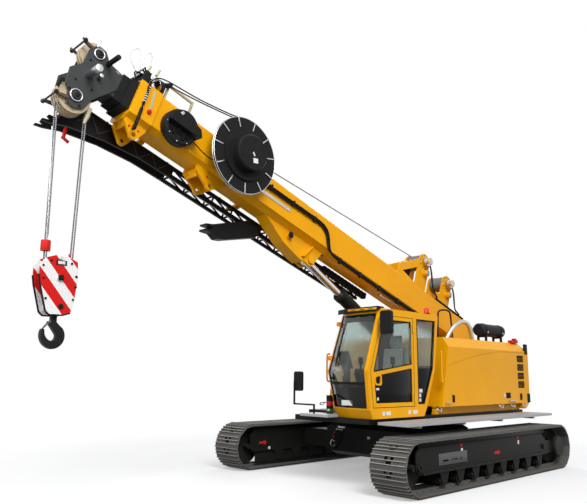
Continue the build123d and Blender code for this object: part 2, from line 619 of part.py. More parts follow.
def windscreen(low, high, back, front):
    """A band of the curved front between two heights, from back to front of the cab's outer face."""
    edge = [(x, z) for x, z, part in CAB_SIDE[:5]]
    levels = [low] + [z for x, z in edge if low < z < high] + [high]
    face_x = [between([(z, x) for x, z in edge], z) for z in levels]
    outline = [(x + front, z, 1.0) for x, z in zip(face_x, levels)]
    outline += [(x + back, z, 1.0) for x, z in reversed(list(zip(face_x, levels)))]
    return outline


cab -= cab_loft(windscreen(CAB_FLOOR + 20, WINDSCREEN_TOP, -130.0, 60.0), WIND_Y0, WIND_Y1)
BACK_WINDOW_LOW = 1760.0
cab -= side_plate(
    ((500.0, BACK_WINDOW_LOW), (500.0, WINDOW_TOP), (640.0, WINDOW_TOP), (740.0, BACK_WINDOW_LOW)),
    WIND_Y0, WIND_Y1,
)
pieces["cab_shell"] = cab

lower_pane = cab_loft(
    windscreen(CAB_FLOOR + 20 + SEAT_GAP, WINDSCREEN_SPLIT - 6, -GLASS - 14, -14.0), WIND_Y0 + SEAT_GAP, WIND_Y1 - SEAT_GAP
)
upper_pane = cab_loft(
    windscreen(WINDSCREEN_SPLIT + 6, WINDSCREEN_TOP - SEAT_GAP, -GLASS - 14, -14.0), WIND_Y0 + SEAT_GAP, WIND_Y1 - SEAT_GAP
)


def window_pane(outline, y0):
    """A pane that fills a window's outline less the seating gap all round."""
    wire = Face(Wire.make_polygon([(x, y0, z) for x, z in outline], close=True))
    return extrude(offset(wire, -SEAT_GAP, kind=Kind.INTERSECTION), amount=GLASS, dir=(0, 1, 0))


rear_side = window_pane(REAR_WINDOW, SIDE_Y - 24)
right_side = window_pane(RIGHT_WINDOW, CAB_INNER_Y + 16)
back = side_plate(
    ((676.0, BACK_WINDOW_LOW + SEAT_GAP), (684.0, BACK_WINDOW_LOW + SEAT_GAP), (580.0, WINDOW_TOP - SEAT_GAP),
     (572.0, WINDOW_TOP - SEAT_GAP)),
    WIND_Y0 + SEAT_GAP, WIND_Y1 - SEAT_GAP,
)
pieces["cab_glass"] = Compound(children=[lower_pane, upper_pane, rear_side, right_side, back])

# Door with its window opening, its recessed lower panel and its handle loop, hung at its rear edge
g = DOOR_GAP
door_outline = (
    (2265.0 - g, CAB_FLOOR + 30 + g), (2322.0 - g, 1655.0), (2035.0 - g, WINDOW_TOP - g),
    (DOOR_REAR_X + g, WINDOW_TOP - g), (DOOR_REAR_X + g, CAB_FLOOR + 30 + g),
)
door = side_plate(door_outline, SIDE_Y - DOOR_THICKNESS, SIDE_Y)
DOOR_WINDOW = (
    (2236.0, 1648.0), (2250.0, 1668.0), (1992.0, CAB_ROOF - 165), (DOOR_REAR_X + 62, CAB_ROOF - 165),
    (DOOR_REAR_X + 62, 1772.0),
)
door -= side_plate(DOOR_WINDOW, SIDE_Y - DOOR_THICKNESS - 5, SIDE_Y + 5)
door_panel = (
    (2196.0, CAB_FLOOR + 92), (2238.0, 1590.0), (DOOR_REAR_X + 62, 1716.0), (DOOR_REAR_X + 62, CAB_FLOOR + 92),
)
door -= side_plate(door_panel, SIDE_Y - 10, SIDE_Y + 5, radius=28)
for z in (CAB_FLOOR + 150, CAB_ROOF - 270):
    door += pin_z(DOOR_REAR_X + 12, SIDE_Y + 8, 14, z - 60, z + 60)
handle = ((2072.0, 1452.0), (2238.0, 1462.0), (2246.0, 1600.0), (2080.0, 1618.0))
handle_hole = ((2098.0, 1478.0), (2212.0, 1486.0), (2219.0, 1577.0), (2105.0, 1590.0))
door += side_plate(handle, SIDE_Y - 12, SIDE_Y + 14, radius=40) - side_plate(handle_hole, SIDE_Y - 10, SIDE_Y + 14, radius=30)
pieces["cab_door"] = door
pieces["door_glass"] = window_pane(DOOR_WINDOW, SIDE_Y - 26)

# Operator's seat: a suspension base, the cushion, the back with its head rest, and two arm rests
SEAT_X = 1380.0
SEAT_Y = (CAB_INNER_Y + SIDE_Y) / 2 + 5
seat = block(SEAT_X - 190, SEAT_X + 190, SEAT_Y - 170, SEAT_Y + 170, CAB_FLOOR, CAB_FLOOR + 250)
cushion = (
    (SEAT_X - 250, CAB_FLOOR + 250), (SEAT_X + 270, CAB_FLOOR + 250), (SEAT_X + 290, CAB_FLOOR + 400),
    (SEAT_X - 250, CAB_FLOOR + 380),
)
seat += side_plate(cushion, SEAT_Y - 245, SEAT_Y + 245, radius=50)
backrest = (
    (SEAT_X - 270, CAB_FLOOR + 300), (SEAT_X - 120, CAB_FLOOR + 320), (SEAT_X - 230, CAB_FLOOR + 960),
    (SEAT_X - 350, CAB_FLOOR + 940),
)
seat += side_plate(backrest, SEAT_Y - 235, SEAT_Y + 235, radius=45)
head_rest = (
    (SEAT_X - 350, CAB_FLOOR + 935), (SEAT_X - 240, CAB_FLOOR + 945), (SEAT_X - 270, CAB_FLOOR + 1150),
    (SEAT_X - 360, CAB_FLOOR + 1140),
)
seat += side_plate(head_rest, SEAT_Y - 130, SEAT_Y + 130, radius=35)
pieces["operator_seat"] = seat
consoles = []
for side in (-1, 1):
    y = SEAT_Y + side * 315
    arm = side_plate(
        ((SEAT_X - 200, CAB_FLOOR), (SEAT_X + 60, CAB_FLOOR), (SEAT_X + 330, CAB_FLOOR + 520), (SEAT_X + 300, CAB_FLOOR + 590),
         (SEAT_X - 200, CAB_FLOOR + 540)), y - 55, y + 55,
    )
    arm += pin_z(SEAT_X + 225, y, 16, CAB_FLOOR + 520, CAB_FLOOR + 700)
    arm += block(SEAT_X + 198, SEAT_X + 252, y - 24, y + 24, CAB_FLOOR + 660, CAB_FLOOR + 770)
    consoles.append(arm)
MONITOR_X = 1930.0
MONITOR_Y = CAB_INNER_Y + 130
column = block(MONITOR_X - 40, MONITOR_X + 40, MONITOR_Y - 45, MONITOR_Y + 45, CAB_FLOOR, CAB_FLOOR + 640)
column += side_plate(
    ((MONITOR_X - 60, CAB_FLOOR + 600), (MONITOR_X - 20, CAB_FLOOR + 590), (MONITOR_X + 90, CAB_FLOOR + 840),
     (MONITOR_X + 45, CAB_FLOOR + 860)), MONITOR_Y - 70, MONITOR_Y + 90,
)
consoles.append(column)
pieces["cab_console"] = Compound(children=consoles)

# Visor over the windscreen, lamp, mirrors and the column at the cab's inner front corner
visor_points = []
for y, share in CAB_STATIONS:
    visor_points.append((2130.0 - 155.0 * share, y))
for y, share in reversed(CAB_STATIONS):
    visor_points.append((1985.0 - 155.0 * share, y))
visor = top_plate(visor_points, CAB_ROOF, CAB_ROOF + 24)
lip_points = visor_points[:4] + [(x - 22, y) for x, y in reversed(visor_points[:4])]
visor += top_plate(lip_points, CAB_ROOF - 46, CAB_ROOF + 12)
pieces["roof_visor"] = visor
BEACON_X = 690.0
BEACON_Y = SIDE_Y - 110
beacon = pin_z(BEACON_X, BEACON_Y, 52, CAB_ROOF, CAB_ROOF + 26)
lens = pin_z(BEACON_X, BEACON_Y, 44, CAB_ROOF + 26, CAB_ROOF + 118)
beacon += chamfer(lens.edges().filter_by(GeomType.CIRCLE).sort_by(Axis.Z)[-1], 18)
pieces["beacon"] = beacon
MIRROR_Y = SIDE_Y + 190
side_mirror = front_plate(
    ((MIRROR_Y - 100, 2190), (MIRROR_Y + 100, 2190), (MIRROR_Y + 100, 2530), (MIRROR_Y - 100, 2530)), 2145, 2200, radius=40
)
side_mirror += block(2070, 2094, SIDE_Y, SIDE_Y + 120, 2428, 2452)
side_mirror += block(2094, 2150, SIDE_Y + 96, SIDE_Y + 120, 2428, 2452)
front_mirror = front_plate(((-205, 1350), (-20, 1350), (-20, 1650), (-205, 1650)), 2400, 2432, radius=35)
MIRROR_ARM_Z = STEP_TOP + 116.0
front_mirror += block(2432, 2452, -190, -166, MIRROR_ARM_Z, 1512)
front_mirror += block(2432, 2452, -190, 262, MIRROR_ARM_Z, MIRROR_ARM_Z + 24)
front_mirror += block(2432, 2452, 238, 262, STEP_TOP + SEAT_GAP, MIRROR_ARM_Z)
pieces["mirrors"] = Compound(children=[side_mirror, front_mirror])
COLUMN_Y = CAB_INNER_Y - 55
lamp_column = block(2075, 2150, COLUMN_Y - 40, COLUMN_Y + 35, DECK_TOP + SEAT_GAP, DECK_TOP + 305)
pieces["lamp_column"] = lamp_column

# Boom base section, drawn level and then luffed; its underside is drawn in to a narrow flat keel
KEEL_HALF_WIDTH = 120.0
KEEL_DEPTH = 50.0
base_section = (
    (-KEEL_HALF_WIDTH, BASE_BOTTOM - KEEL_DEPTH), (KEEL_HALF_WIDTH, BASE_BOTTOM - KEEL_DEPTH),
    (BASE_HALF_WIDTH, BASE_BOTTOM + 10), (BASE_HALF_WIDTH, BASE_TOP - 30), (BASE_HALF_WIDTH - 30, BASE_TOP),
    (-BASE_HALF_WIDTH + 30, BASE_TOP), (-BASE_HALF_WIDTH, BASE_TOP - 30), (-BASE_HALF_WIDTH, BASE_BOTTOM + 10),
)
base = front_plate(base_section, BASE_REAR, BASE_FRONT)
# The keel is relieved over the rod's eye, which rises towards it near both ends of the stroke
base -= block(
    ROD_PIN_S - 290, ROD_PIN_S + 120, -ROD_EYE_HALF - CHEEK_GAP, ROD_EYE_HALF + CHEEK_GAP,
    BASE_BOTTOM - KEEL_DEPTH - 1, BASE_BOTTOM,
)
base -= block(
    350, BASE_FRONT + 1, -BASE_HALF_WIDTH + BASE_WALL, BASE_HALF_WIDTH - BASE_WALL,
    BASE_BOTTOM + BASE_WALL, BASE_TOP - BASE_WALL,
)
COLLAR_REAR = BASE_FRONT - 340
collar_section = [(y * (BASE_HALF_WIDTH + 22) / BASE_HALF_WIDTH, t + (22 if t > 200 else -22)) for y, t in base_section]
collar = front_plate(collar_section, COLLAR_REAR, BASE_FRONT)
collar -= block(COLLAR_REAR, BASE_FRONT, -BASE_HALF_WIDTH + 30, BASE_HALF_WIDTH - 30, BASE_BOTTOM + 30, BASE_TOP - 30)
base += collar
MID_T = (BASE_TOP + BASE_BOTTOM) / 2
foot = pin_y(0, 0, FOOT_BOSS_RADIUS, -BASE_HALF_WIDTH, BASE_HALF_WIDTH)
foot += pin_y(0, 0, FOOT_PIN_RADIUS, -WEB_Y - WEB_THICKNESS - 20, WEB_Y + WEB_THICKNESS + 20)
foot += pin_y(0, 0, 90, -WEB_Y + 6, WEB_Y - 6)
base += foot
# Lugs under the boom: a round eye below a plate. Each row: rear s, front s, eye s, eye t
LUG_RADIUS = 68.0
LUGS = (
    (COLLAR_REAR, 8380.0, 8195.0, -235.0),
    (6690.0, 7200.0, 6910.0, -235.0),
)
for rear_s, front_s, eye_s, eye_t in LUGS:
    for side in (-1, 1):
        y0, y1 = sorted((side * 120, side * 165))
        lug = side_plate(
            ((rear_s, BASE_BOTTOM + 10), (front_s, BASE_BOTTOM + 10), (front_s, -130), (eye_s + 62, eye_t - 30),
             (eye_s - 62, eye_t - 30), (rear_s, -110)), y0, y1, radius=25,
        )
        lug += pin_y(eye_s, eye_t, LUG_RADIUS, y0, y1)
        base += lug - pin_y(eye_s, eye_t, 32, y0 - 1, y1 + 1)
# Doubler plates on the boom's sides over the cylinder's bracket
DOUBLER = 12.0
for side in (-1, 1):
    y0, y1 = sorted((side * BASE_HALF_WIDTH, side * (BASE_HALF_WIDTH + DOUBLER)))
    doubler = ((6280.0, BASE_BOTTOM + 10), (6280.0, 170.0), (4760.0, 235.0), (4560.0, 150.0), (4500.0, BASE_BOTTOM + 10))
    base += side_plate(doubler, y0, y1)
base += block(8290, 8395, -90, 190, BASE_TOP + 10, BASE_TOP + 130)

# Bracket of the luffing cylinder: two cheeks with round eyes, a flange along their front edge, and gussets
CHEEK_INNER = ROD_EYE_HALF + CHEEK_GAP
CHEEK_OUTER = CHEEK_INNER + 40
bracket_half = CHEEK_OUTER + 6
cheek_top = BASE_BOTTOM - KEEL_DEPTH - SEAT_GAP
bracket = None
for side in (-1, 1):
    y0, y1 = sorted((side * CHEEK_INNER, side * CHEEK_OUTER))
    cheek = side_plate(
        (
            (5790.0, cheek_top), (5330.0, -290.0), (4980.0, -372.0), (ROD_PIN_S, ROD_PIN_T - 100),
            (ROD_PIN_S - 105, ROD_PIN_T), (4480.0, cheek_top),
        ),
        y0, y1,
    )
    cheek += pin_y(ROD_PIN_S, ROD_PIN_T, 108, y0, y1)
    cheek += pin_y(ROD_PIN_S, ROD_PIN_T, 70, *sorted((side * CHEEK_OUTER, side * (CHEEK_OUTER + 32))))
    cheek += pin_y(5270.0, -150.0, 46, *sorted((side * CHEEK_OUTER, side * (CHEEK_OUTER + 60))))
    gusset = side_plate(
        ((ROD_PIN_S + 30, cheek_top - 12), (ROD_PIN_S + 60, cheek_top - 12), (4905.0, -330.0), (4875.0, -330.0)),
        *sorted((side * CHEEK_OUTER, side * (CHEEK_OUTER + 50)))
    )
    cheek += gusset
    bracket = cheek if bracket is None else bracket + cheek
flange = side_plate(
    (
        (5810.0, cheek_top), (5335.0, -303.0), (4980.0, -386.0), (4850.0, -404.0), (4850.0, -390.0), (4984.0, -371.0),
        (5328.0, -290.0), (5780.0, cheek_top),
    ),
    -bracket_half, bracket_half,
)
pieces["cylinder_bracket"] = at_foot(bracket + flange)

# Winches on the boom's top. Each row: centre s, centre t, plate radius, front end of its base
WINCH_PLATE_Y = 150.0
WINCH_PLATE = 26.0
WINCHES = (
    (1830.0, 1060.0, 165.0, 2580.0),
    (990.0, 970.0, 170.0, 1290.0),
)
winches = []
for s, t, radius, base_front in WINCHES:
    winch = pin_y(s, t, radius - 45, -WINCH_PLATE_Y, WINCH_PLATE_Y)
    winch += pin_y(s, t, 70, WINCH_PLATE_Y, WINCH_PLATE_Y + 170)
    winch += pin_y(s - 40, t - 230, 62, WINCH_PLATE_Y, WINCH_PLATE_Y + 120)
    for side in (-1, 1):
        y0, y1 = sorted((side * WINCH_PLATE_Y, side * (WINCH_PLATE_Y + WINCH_PLATE)))
        winch += pin_y(s, t, radius, y0, y1)
        winch += block(s - radius, s + radius, y0, y1, BASE_TOP, t)
        if base_front > s + 500:
            brace = side_plate(
                ((s, t + 40), (s + 120, t + 40), (base_front, 680.0), (base_front, BASE_TOP), (s, BASE_TOP)), y0, y1
            )
            brace -= side_plate(
                ((s + radius + 20, t - 190), (base_front - 140, 600.0), (s + radius + 20, BASE_TOP + 45)), y0, y1
            )
            winch += brace
        else:
            winch += block(s, base_front, y0, y1, BASE_TOP, BASE_TOP + 190)
    winches.append(at_foot(winch))
pieces["winches"] = Compound(children=winches)

# Cable reel beside the boom: two thin flanges round a core, a base disc, a cap and eleven rim clips
REEL_S = 6700.0
REEL_T = 330.0
REEL_Y = BASE_HALF_WIDTH + 200
REEL_RADIUS = 555.0
REEL_CLIPS = 11
reel = pin_y(REEL_S, REEL_T, REEL_RADIUS, REEL_Y, REEL_Y + 8)
reel += pin_y(REEL_S, REEL_T, 330, REEL_Y + 8, REEL_Y + 36)
reel += pin_y(REEL_S, REEL_T, REEL_RADIUS, REEL_Y + 36, REEL_Y + 44)
reel += pin_y(REEL_S, REEL_T, 375, REEL_Y + 44, REEL_Y + 72)
cap = pin_y(REEL_S, REEL_T, 265, REEL_Y + 72, REEL_Y + 220)
reel += chamfer(cap.edges().filter_by(GeomType.CIRCLE).sort_by(Axis.Y)[-1], 20)
for n in range(REEL_CLIPS):
    clip = Pos(REEL_RADIUS - 75, REEL_Y + 48, 0) * Box(150, 12, 16)
    reel += Pos(REEL_S, 0, REEL_T) * Rot(0, 360 * n / REEL_CLIPS + 10, 0) * clip
reel -= pin_y(REEL_S, REEL_T, 60, REEL_Y - 1, REEL_Y + 60)
pieces["cable_reel"] = at_foot(reel)
reel_seat = pin_y(REEL_S, REEL_T, 60 - SEAT_GAP, BASE_HALF_WIDTH, REEL_Y + 55)
reel_seat += block(REEL_S - 120, REEL_S + 120, BASE_HALF_WIDTH, BASE_HALF_WIDTH + 150, REEL_T - 110, REEL_T + 110)

# Sensor drum: a round case with a half cover and its nose
DRUM_S = 7715.0
DRUM_T = 150.0
DRUM_Y = BASE_HALF_WIDTH + SEAT_GAP
drum = pin_y(DRUM_S, DRUM_T, 250, DRUM_Y, DRUM_Y + 150)
drum = chamfer(drum.edges().filter_by(GeomType.CIRCLE), 22)
drum -= pin_y(DRUM_S, DRUM_T, 205, DRUM_Y + 120, DRUM_Y + 151)
cover = pin_y(DRUM_S, DRUM_T, 218, DRUM_Y + 100, DRUM_Y + 205)
cover = cover & block(DRUM_S - 260, DRUM_S + 260, DRUM_Y + 90, DRUM_Y + 210, DRUM_T - 15, DRUM_T + 260)
nose = (
    (DRUM_S - 150, DRUM_T - 15), (DRUM_S - 240, DRUM_T - 60), (DRUM_S - 312, DRUM_T + 20), (DRUM_S - 262, DRUM_T + 120),
    (DRUM_S - 150, DRUM_T + 150),
)
drum += cover + side_plate(nose, DRUM_Y + 100, DRUM_Y + 190)
pieces["sensor_drum"] = at_foot(drum)

rail_top = BASE_TOP + 260
rail = square_bar((7590, 150, BASE_TOP), (7590, 150, rail_top), 30) + square_bar((8000, 150, BASE_TOP), (8000, 150, rail_top), 30)
rail += square_bar((7575, 150, rail_top - 15), (8015, 150, rail_top - 15), 30)
pieces["grab_rail"] = at_foot(rail)
lamp = block(8075, 8110, 160, 230, BASE_TOP + 22, BASE_TOP + 90)
lamp += front_plate(
    ((110, BASE_TOP + 80), (280, BASE_TOP + 80), (280, BASE_TOP + 220), (110, BASE_TOP + 220)), 8050, 8120, radius=35
)
pieces["work_lamp"] = at_foot(lamp)

# Telescope sections, each nested in the one before; a thick collar stands at the front of each
half = BASE_HALF_WIDTH - 30
low = BASE_BOTTOM + 30
high = BASE_TOP - 30
front = BASE_FRONT
for n in (1, 2, 3):
    w = half - SLIDE_GAP
    b = low + SLIDE_GAP
    h = high - SLIDE_GAP
    front = front + 110
    rear = front - SECTION_LENGTH
    section = block(rear, front, -w, w, b, h)
    section -= block(rear - 1, front + 1, -w + SECTION_WALL, w - SECTION_WALL, b + SECTION_WALL, h - SECTION_WALL)
    if n < 3:
        ring = block(front - 200, front, -w, w, b, h)
        ring -= block(front - 200, front, -w + 26, w - 26, b + 26, h - 26)
        section += ring
    pieces["boom_section_%d" % n] = section
    half = w - 26
    low = b + 26
    high = h - 26

# Boom head on the last section: two plates with the pins of both sheave stacks, tie pins and rope guards
HEAD_HALF = half + 26
HEAD_PLATE = 20.0
HEAD_OUTER = HEAD_HALF + HEAD_PLATE
head_outline = (
    (front - 110, low + 70), (8842.0, -152.0), (8892.0, -326.0), (9000.0, -395.0), (9105.0, -375.0), (9145.0, -215.0),
    (9205.0, -157.0), (9237.0, 53.0), (9122.0, 206.0), (9122.0, 450.0), (9050.0, 542.0), (8930.0, 542.0),
    (8852.0, 446.0), (front - 110, high - 20),
)
head = None
for side in (-1, 1):
    y0, y1 = sorted((side * HEAD_HALF, side * HEAD_OUTER))
    plate = side_plate(head_outline, y0, y1)
    # the rope guards' arms
    plate += side_plate(((9100, -330), (9120, -290), (9272, -335), (9262, -365)), y0, y1)
    plate += side_plate(((9095, 440), (9090, 480), (9222, 500), (9228, 468)), y0, y1)
    head = plate if head is None else head + plate
head += block(front - 120, front - 60, -HEAD_HALF, HEAD_HALF, low + 60, high - 60)
PIN_BOSS = 9.0
PIN_END = 34.0
for pin_s, pin_t, pin_radius, boss_radius in ((HEAD_PIN_S, HEAD_PIN_T, 50, 78), (TOP_PIN_S, TOP_PIN_T, 45, 70)):
    head += pin_y(pin_s, pin_t, pin_radius, -HEAD_OUTER - PIN_END, HEAD_OUTER + PIN_END)
    for side in (-1, 1):
        y0, y1 = sorted((side * (HEAD_OUTER - 1), side * (HEAD_OUTER + PIN_BOSS)))
        head += pin_y(pin_s, pin_t, boss_radius, y0, y1)
head += pin_y(9000, 100, 45, -HEAD_OUTER, HEAD_OUTER + 280)
head += pin_y(8850, 390, 30, HEAD_HALF, HEAD_OUTER + 280)
head += many_sided(9256, -350, 13, 8, -HEAD_OUTER - 12, HEAD_OUTER + 12)
head += many_sided(9216, 484, 13, 8, -HEAD_OUTER - 12, HEAD_OUTER + 12)
pieces["boom_section_3"] = pieces["boom_section_3"] + head
for n in (1, 2, 3):
    pieces["boom_section_%d" % n] = at_foot(pieces["boom_section_%d" % n])


def rope_drum(x, z, radius, bore, sheave_ys):
    """A stack of rope sheaves turned as one: a groove for each rope, with a narrow rim on each side of it."""
    edge = SHEAVE_PITCH / 2 - SEAT_GAP / 2
    points = [(0.0, sheave_ys[0] - edge)]
    for y in sheave_ys:
        points += [(radius, y - edge), (radius, y - GROOVE_WIDTH / 2), (radius - GROOVE_DEPTH, y - 10.5)]
        points += [(radius - GROOVE_DEPTH, y + 10.5), (radius, y + GROOVE_WIDTH / 2)]
    points += [(radius, sheave_ys[-1] + edge), (0.0, sheave_ys[-1] + edge)]
    outline = Wire.make_polygon([(x + r, y, z) for r, y in points], close=True)
    turned = revolve(Face(outline), axis=Axis((x, 0, z), (0, 1, 0)), revolution_arc=360)
    return turned - pin_y(x, z, bore + SEAT_GAP, sheave_ys[0] - SHEAVE_WIDTH, sheave_ys[-1] + SHEAVE_WIDTH)


LOWER_YS = (-SHEAVE_PITCH / 2, SHEAVE_PITCH / 2, SHEAVE_PITCH * 1.5)
TOP_YS = (-SHEAVE_PITCH / 2, SHEAVE_PITCH / 2)
sheaves = [
    at_foot(rope_drum(HEAD_PIN_S, HEAD_PIN_T, SHEAVE_RADIUS, 50, LOWER_YS)),
    at_foot(rope_drum(TOP_PIN_S, TOP_PIN_T, TOP_SHEAVE_RADIUS, 45, TOP_YS)),
]
pieces["head_sheaves"] = Compound(children=sheaves)

# Stowed lattice jib on the far side of the boom, with its hangers
JIB_Y = -BASE_HALF_WIDTH - 190
JIB_HALF = 105.0
JIB_TOP = -60.0
JIB_LOW = -190.0
JIB_REAR = 3000.0
JIB_FRONT = 9050.0
JIB_PLATE_REAR = 7300.0
JIB_BAYS = 11
JIB_REST_WIDTH = 150.0
JIB_REST_Y = JIB_Y + JIB_HALF - 30
jib = None
corners = ((-JIB_HALF, JIB_TOP), (JIB_HALF, JIB_TOP), (-JIB_HALF, JIB_LOW), (JIB_HALF, JIB_LOW))
for dy, t in corners:
    chord = square_bar((JIB_REAR, JIB_Y + dy, t), (JIB_PLATE_REAR + 200, JIB_Y + dy, t), 44)
    jib = chord if jib is None else jib + chord
bay = (JIB_PLATE_REAR - JIB_REAR) / JIB_BAYS
for n in range(JIB_BAYS + 1):
    s = JIB_REAR + 30 + n * bay * 0.99
    for dy in (-JIB_HALF, JIB_HALF):
        jib += square_bar((s, JIB_Y + dy, JIB_LOW), (s, JIB_Y + dy, JIB_TOP), 22)
    for t in (JIB_LOW, JIB_TOP):
        jib += square_bar((s, JIB_Y - JIB_HALF, t), (s, JIB_Y + JIB_HALF, t), 22)
for n in range(JIB_BAYS):
    s = JIB_REAR + 30 + n * bay * 0.99
    for dy in (-JIB_HALF, JIB_HALF):
        jib += square_bar((s, JIB_Y + dy, JIB_LOW), (s + bay * 0.99, JIB_Y + dy, JIB_TOP), 20)
fork_outline = (
    (JIB_PLATE_REAR, JIB_LOW - 22), (7800.0, JIB_LOW - 30), (8340.0, -285.0), (8840.0, -400.0), (9045.0, -490.0),
    (9155.0, -520.0), (9150.0, -490.0), (9050.0, -455.0), (9110.0, -430.0), (9100.0, -402.0), (8990.0, -380.0),
    (8900.0, JIB_TOP + 22), (JIB_PLATE_REAR, JIB_TOP + 22),
)
for side in (-1, 1):
    y0, y1 = sorted((JIB_Y + side * (JIB_HALF - 14), JIB_Y + side * (JIB_HALF + 22)))
    jib += side_plate(fork_outline, y0, y1)
jib += block(8850, 8910, JIB_Y - JIB_HALF, JIB_Y + JIB_HALF, JIB_LOW + 20, JIB_TOP - 10)
# Boxed rest under the jib, a short way in front of the cylinder's bracket, with two prongs at its front end
rest_outline = (
    (5560.0, -150.0), (5850.0, -135.0), (6440.0, -525.0), (6560.0, -575.0), (6555.0, -600.0), (6430.0, -572.0),
    (6425.0, -610.0), (6545.0, -655.0), (6535.0, -680.0), (6400.0, -650.0), (6290.0, -690.0), (6180.0, -650.0),
    (5640.0, -330.0),
)
jib += side_plate(rest_outline, JIB_REST_Y, JIB_REST_Y + JIB_REST_WIDTH)
pieces["stowed_jib"] = at_foot(jib)
for s in (4300.0, 6100.0, 7900.0):
    hanger = block(s - 40, s + 40, -BASE_HALF_WIDTH - 60, -BASE_HALF_WIDTH, JIB_TOP + 22.3, 160)
    hanger += block(s - 40, s + 40, JIB_Y - 60, -BASE_HALF_WIDTH - 20, JIB_TOP + 22.3, JIB_TOP + 60)
    base += hanger

pieces["boom_base"] = at_foot(base + reel_seat)

# Luffing cylinder between the deck and the boom
rod_x, rod_z = boom_point(ROD_PIN_S, ROD_PIN_T)
span_x = rod_x - BARREL_PIN_X
span_z = rod_z - BARREL_PIN_Z
CYLINDER_LENGTH = math.hypot(span_x, span_z)
CYLINDER_ANGLE = math.degrees(math.atan2(span_z, span_x))


def at_cylinder(shape):
    return Pos(BARREL_PIN_X, 0, BARREL_PIN_Z) * Rot(0, -CYLINDER_ANGLE, 0) * shape


barrel = pin_x(60, BARREL_LENGTH, 0, 0, BARREL_RADIUS) - pin_x(200, BARREL_LENGTH + 1, 0, 0, ROD_RADIUS + SEAT_GAP)
barrel += pin_y(0, 0, BARREL_EYE_RADIUS, -CLEVIS_INNER + CHEEK_GAP, CLEVIS_INNER - CHEEK_GAP)
barrel -= pin_y(0, 0, 45 + SEAT_GAP, -CLEVIS_INNER, CLEVIS_INNER)
pieces["luff_barrel"] = at_cylinder(barrel)
rod = pin_x(1500, CYLINDER_LENGTH, 0, 0, ROD_RADIUS)
rod += pin_y(CYLINDER_LENGTH, 0, ROD_EYE_RADIUS, -ROD_EYE_HALF, ROD_EYE_HALF)
pieces["luff_rod"] = at_cylinder(rod)

# Hoist falls, hook block and hook; they hang plumb from the head's lower pin
head_x, head_z = boom_point(HEAD_PIN_S, HEAD_PIN_T)
block_x = head_x
BLOCK_Y = SHEAVE_PITCH
BLOCK_YS = (BLOCK_Y - SHEAVE_PITCH / 2, BLOCK_Y + SHEAVE_PITCH / 2)
CHEEK_Y = 75.0
CHEEK = 25.0
HOOK_Z = HOOK_PIN_Z - 620.0
falls = []
for dx in (-1, 1):
    for y in BLOCK_YS:
        seat = ROPE_RADIUS + SEAT_GAP - GROOVE_DEPTH
        top = (head_x + dx * (SHEAVE_RADIUS + seat), y, head_z)
        low_end = (head_x + dx * (BLOCK_SHEAVE_RADIUS + seat), y, HOOK_PIN_Z)
        falls.append(rod_between(top, low_end, ROPE_RADIUS))
pieces["hoist_falls"] = Compound(children=falls)
cheek_outline = (
    (236.0, 140.0), (173.0, 212.0), (65.0, 253.0), (-50.0, 262.0), (-193.0, 199.0), (-207.0, 19.0), (-180.0, -260.0),
    (-148.0, -386.0), (-60.0, -414.0), (92.0, -418.0), (133.0, -386.0), (217.0, -88.0), (236.0, 19.0),
)
cheeks = None
for side in (-1, 1):
    y0, y1 = sorted((BLOCK_Y + side * CHEEK_Y, BLOCK_Y + side * (CHEEK_Y + CHEEK)))
    cheek = side_plate([(block_x + x, HOOK_PIN_Z + z) for x, z in cheek_outline], y0, y1)
    cheeks = cheek if cheeks is None else cheeks + cheek
cheeks += pin_y(block_x, HOOK_PIN_Z, 40, BLOCK_Y - CHEEK_Y - CHEEK - 15, BLOCK_Y + CHEEK_Y + CHEEK + 15)
cheeks += block(
    block_x - 90, block_x + 90, BLOCK_Y - CHEEK_Y, BLOCK_Y + CHEEK_Y, HOOK_PIN_Z - 370, HOOK_PIN_Z - 290
)
cheeks -= pin_z(block_x, BLOCK_Y, 36, HOOK_PIN_Z - 380, HOOK_PIN_Z - 280)
for x, z in ((110.0, 205.0), (-130.0, 190.0)):
    cheeks += many_sided(block_x + x, HOOK_PIN_Z + z, 14, 8, BLOCK_Y - CHEEK_Y, BLOCK_Y + CHEEK_Y)
pieces["block_cheeks"] = cheeks
pieces["block_sheaves"] = rope_drum(block_x, HOOK_PIN_Z, BLOCK_SHEAVE_RADIUS, 40, BLOCK_YS)

hook_pin = pin_z(block_x, BLOCK_Y, 30, HOOK_Z + 120, HOOK_PIN_Z - 285)
hook_pin += pin_z(block_x, BLOCK_Y, 58, HOOK_PIN_Z - 289.5, HOOK_PIN_Z - 262)


def hook_point(x, z):
    return (block_x + x, BLOCK_Y - 32, HOOK_Z + z)


hook_edges = [
    Line(hook_point(-30, 190), hook_point(30, 190)),
    Line(hook_point(30, 190), hook_point(30, 128)),
    Line(hook_point(30, 128), hook_point(52, 112)),
    Line(hook_point(52, 112), hook_point(40, 86)),
    Line(hook_point(40, 86), hook_point(-22, 5)),
    ThreePointArc(hook_point(-22, 5), hook_point(-32, -50), hook_point(22, -84)),
    ThreePointArc(hook_point(22, -84), hook_point(78, -45), hook_point(98, 20)),
    Line(hook_point(98, 20), hook_point(104, 42)),
    Line(hook_point(104, 42), hook_point(128, 46)),
    ThreePointArc(hook_point(128, 46), hook_point(118, -100), hook_point(0, -175)),
    ThreePointArc(hook_point(0, -175), hook_point(-130, -70), hook_point(-100, 66)),
    ThreePointArc(hook_point(-100, 66), hook_point(-58, 100), hook_point(-30, 130)),
    Line(hook_point(-30, 130), hook_point(-30, 190)),
]
hook_body = extrude(Face(Wire(hook_edges)), amount=64, dir=(0, 1, 0))
pieces["hook"] = hook_body + hook_pin

# Door hinge and every other joint is placed in the record from the same values.
os.makedirs("parts", exist_ok=True)
for name, shape in pieces.items():
    export_step(shape, os.path.join("parts", name + ".step"))
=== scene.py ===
import math
import bmesh
import bpy
from mathutils import Matrix, Vector


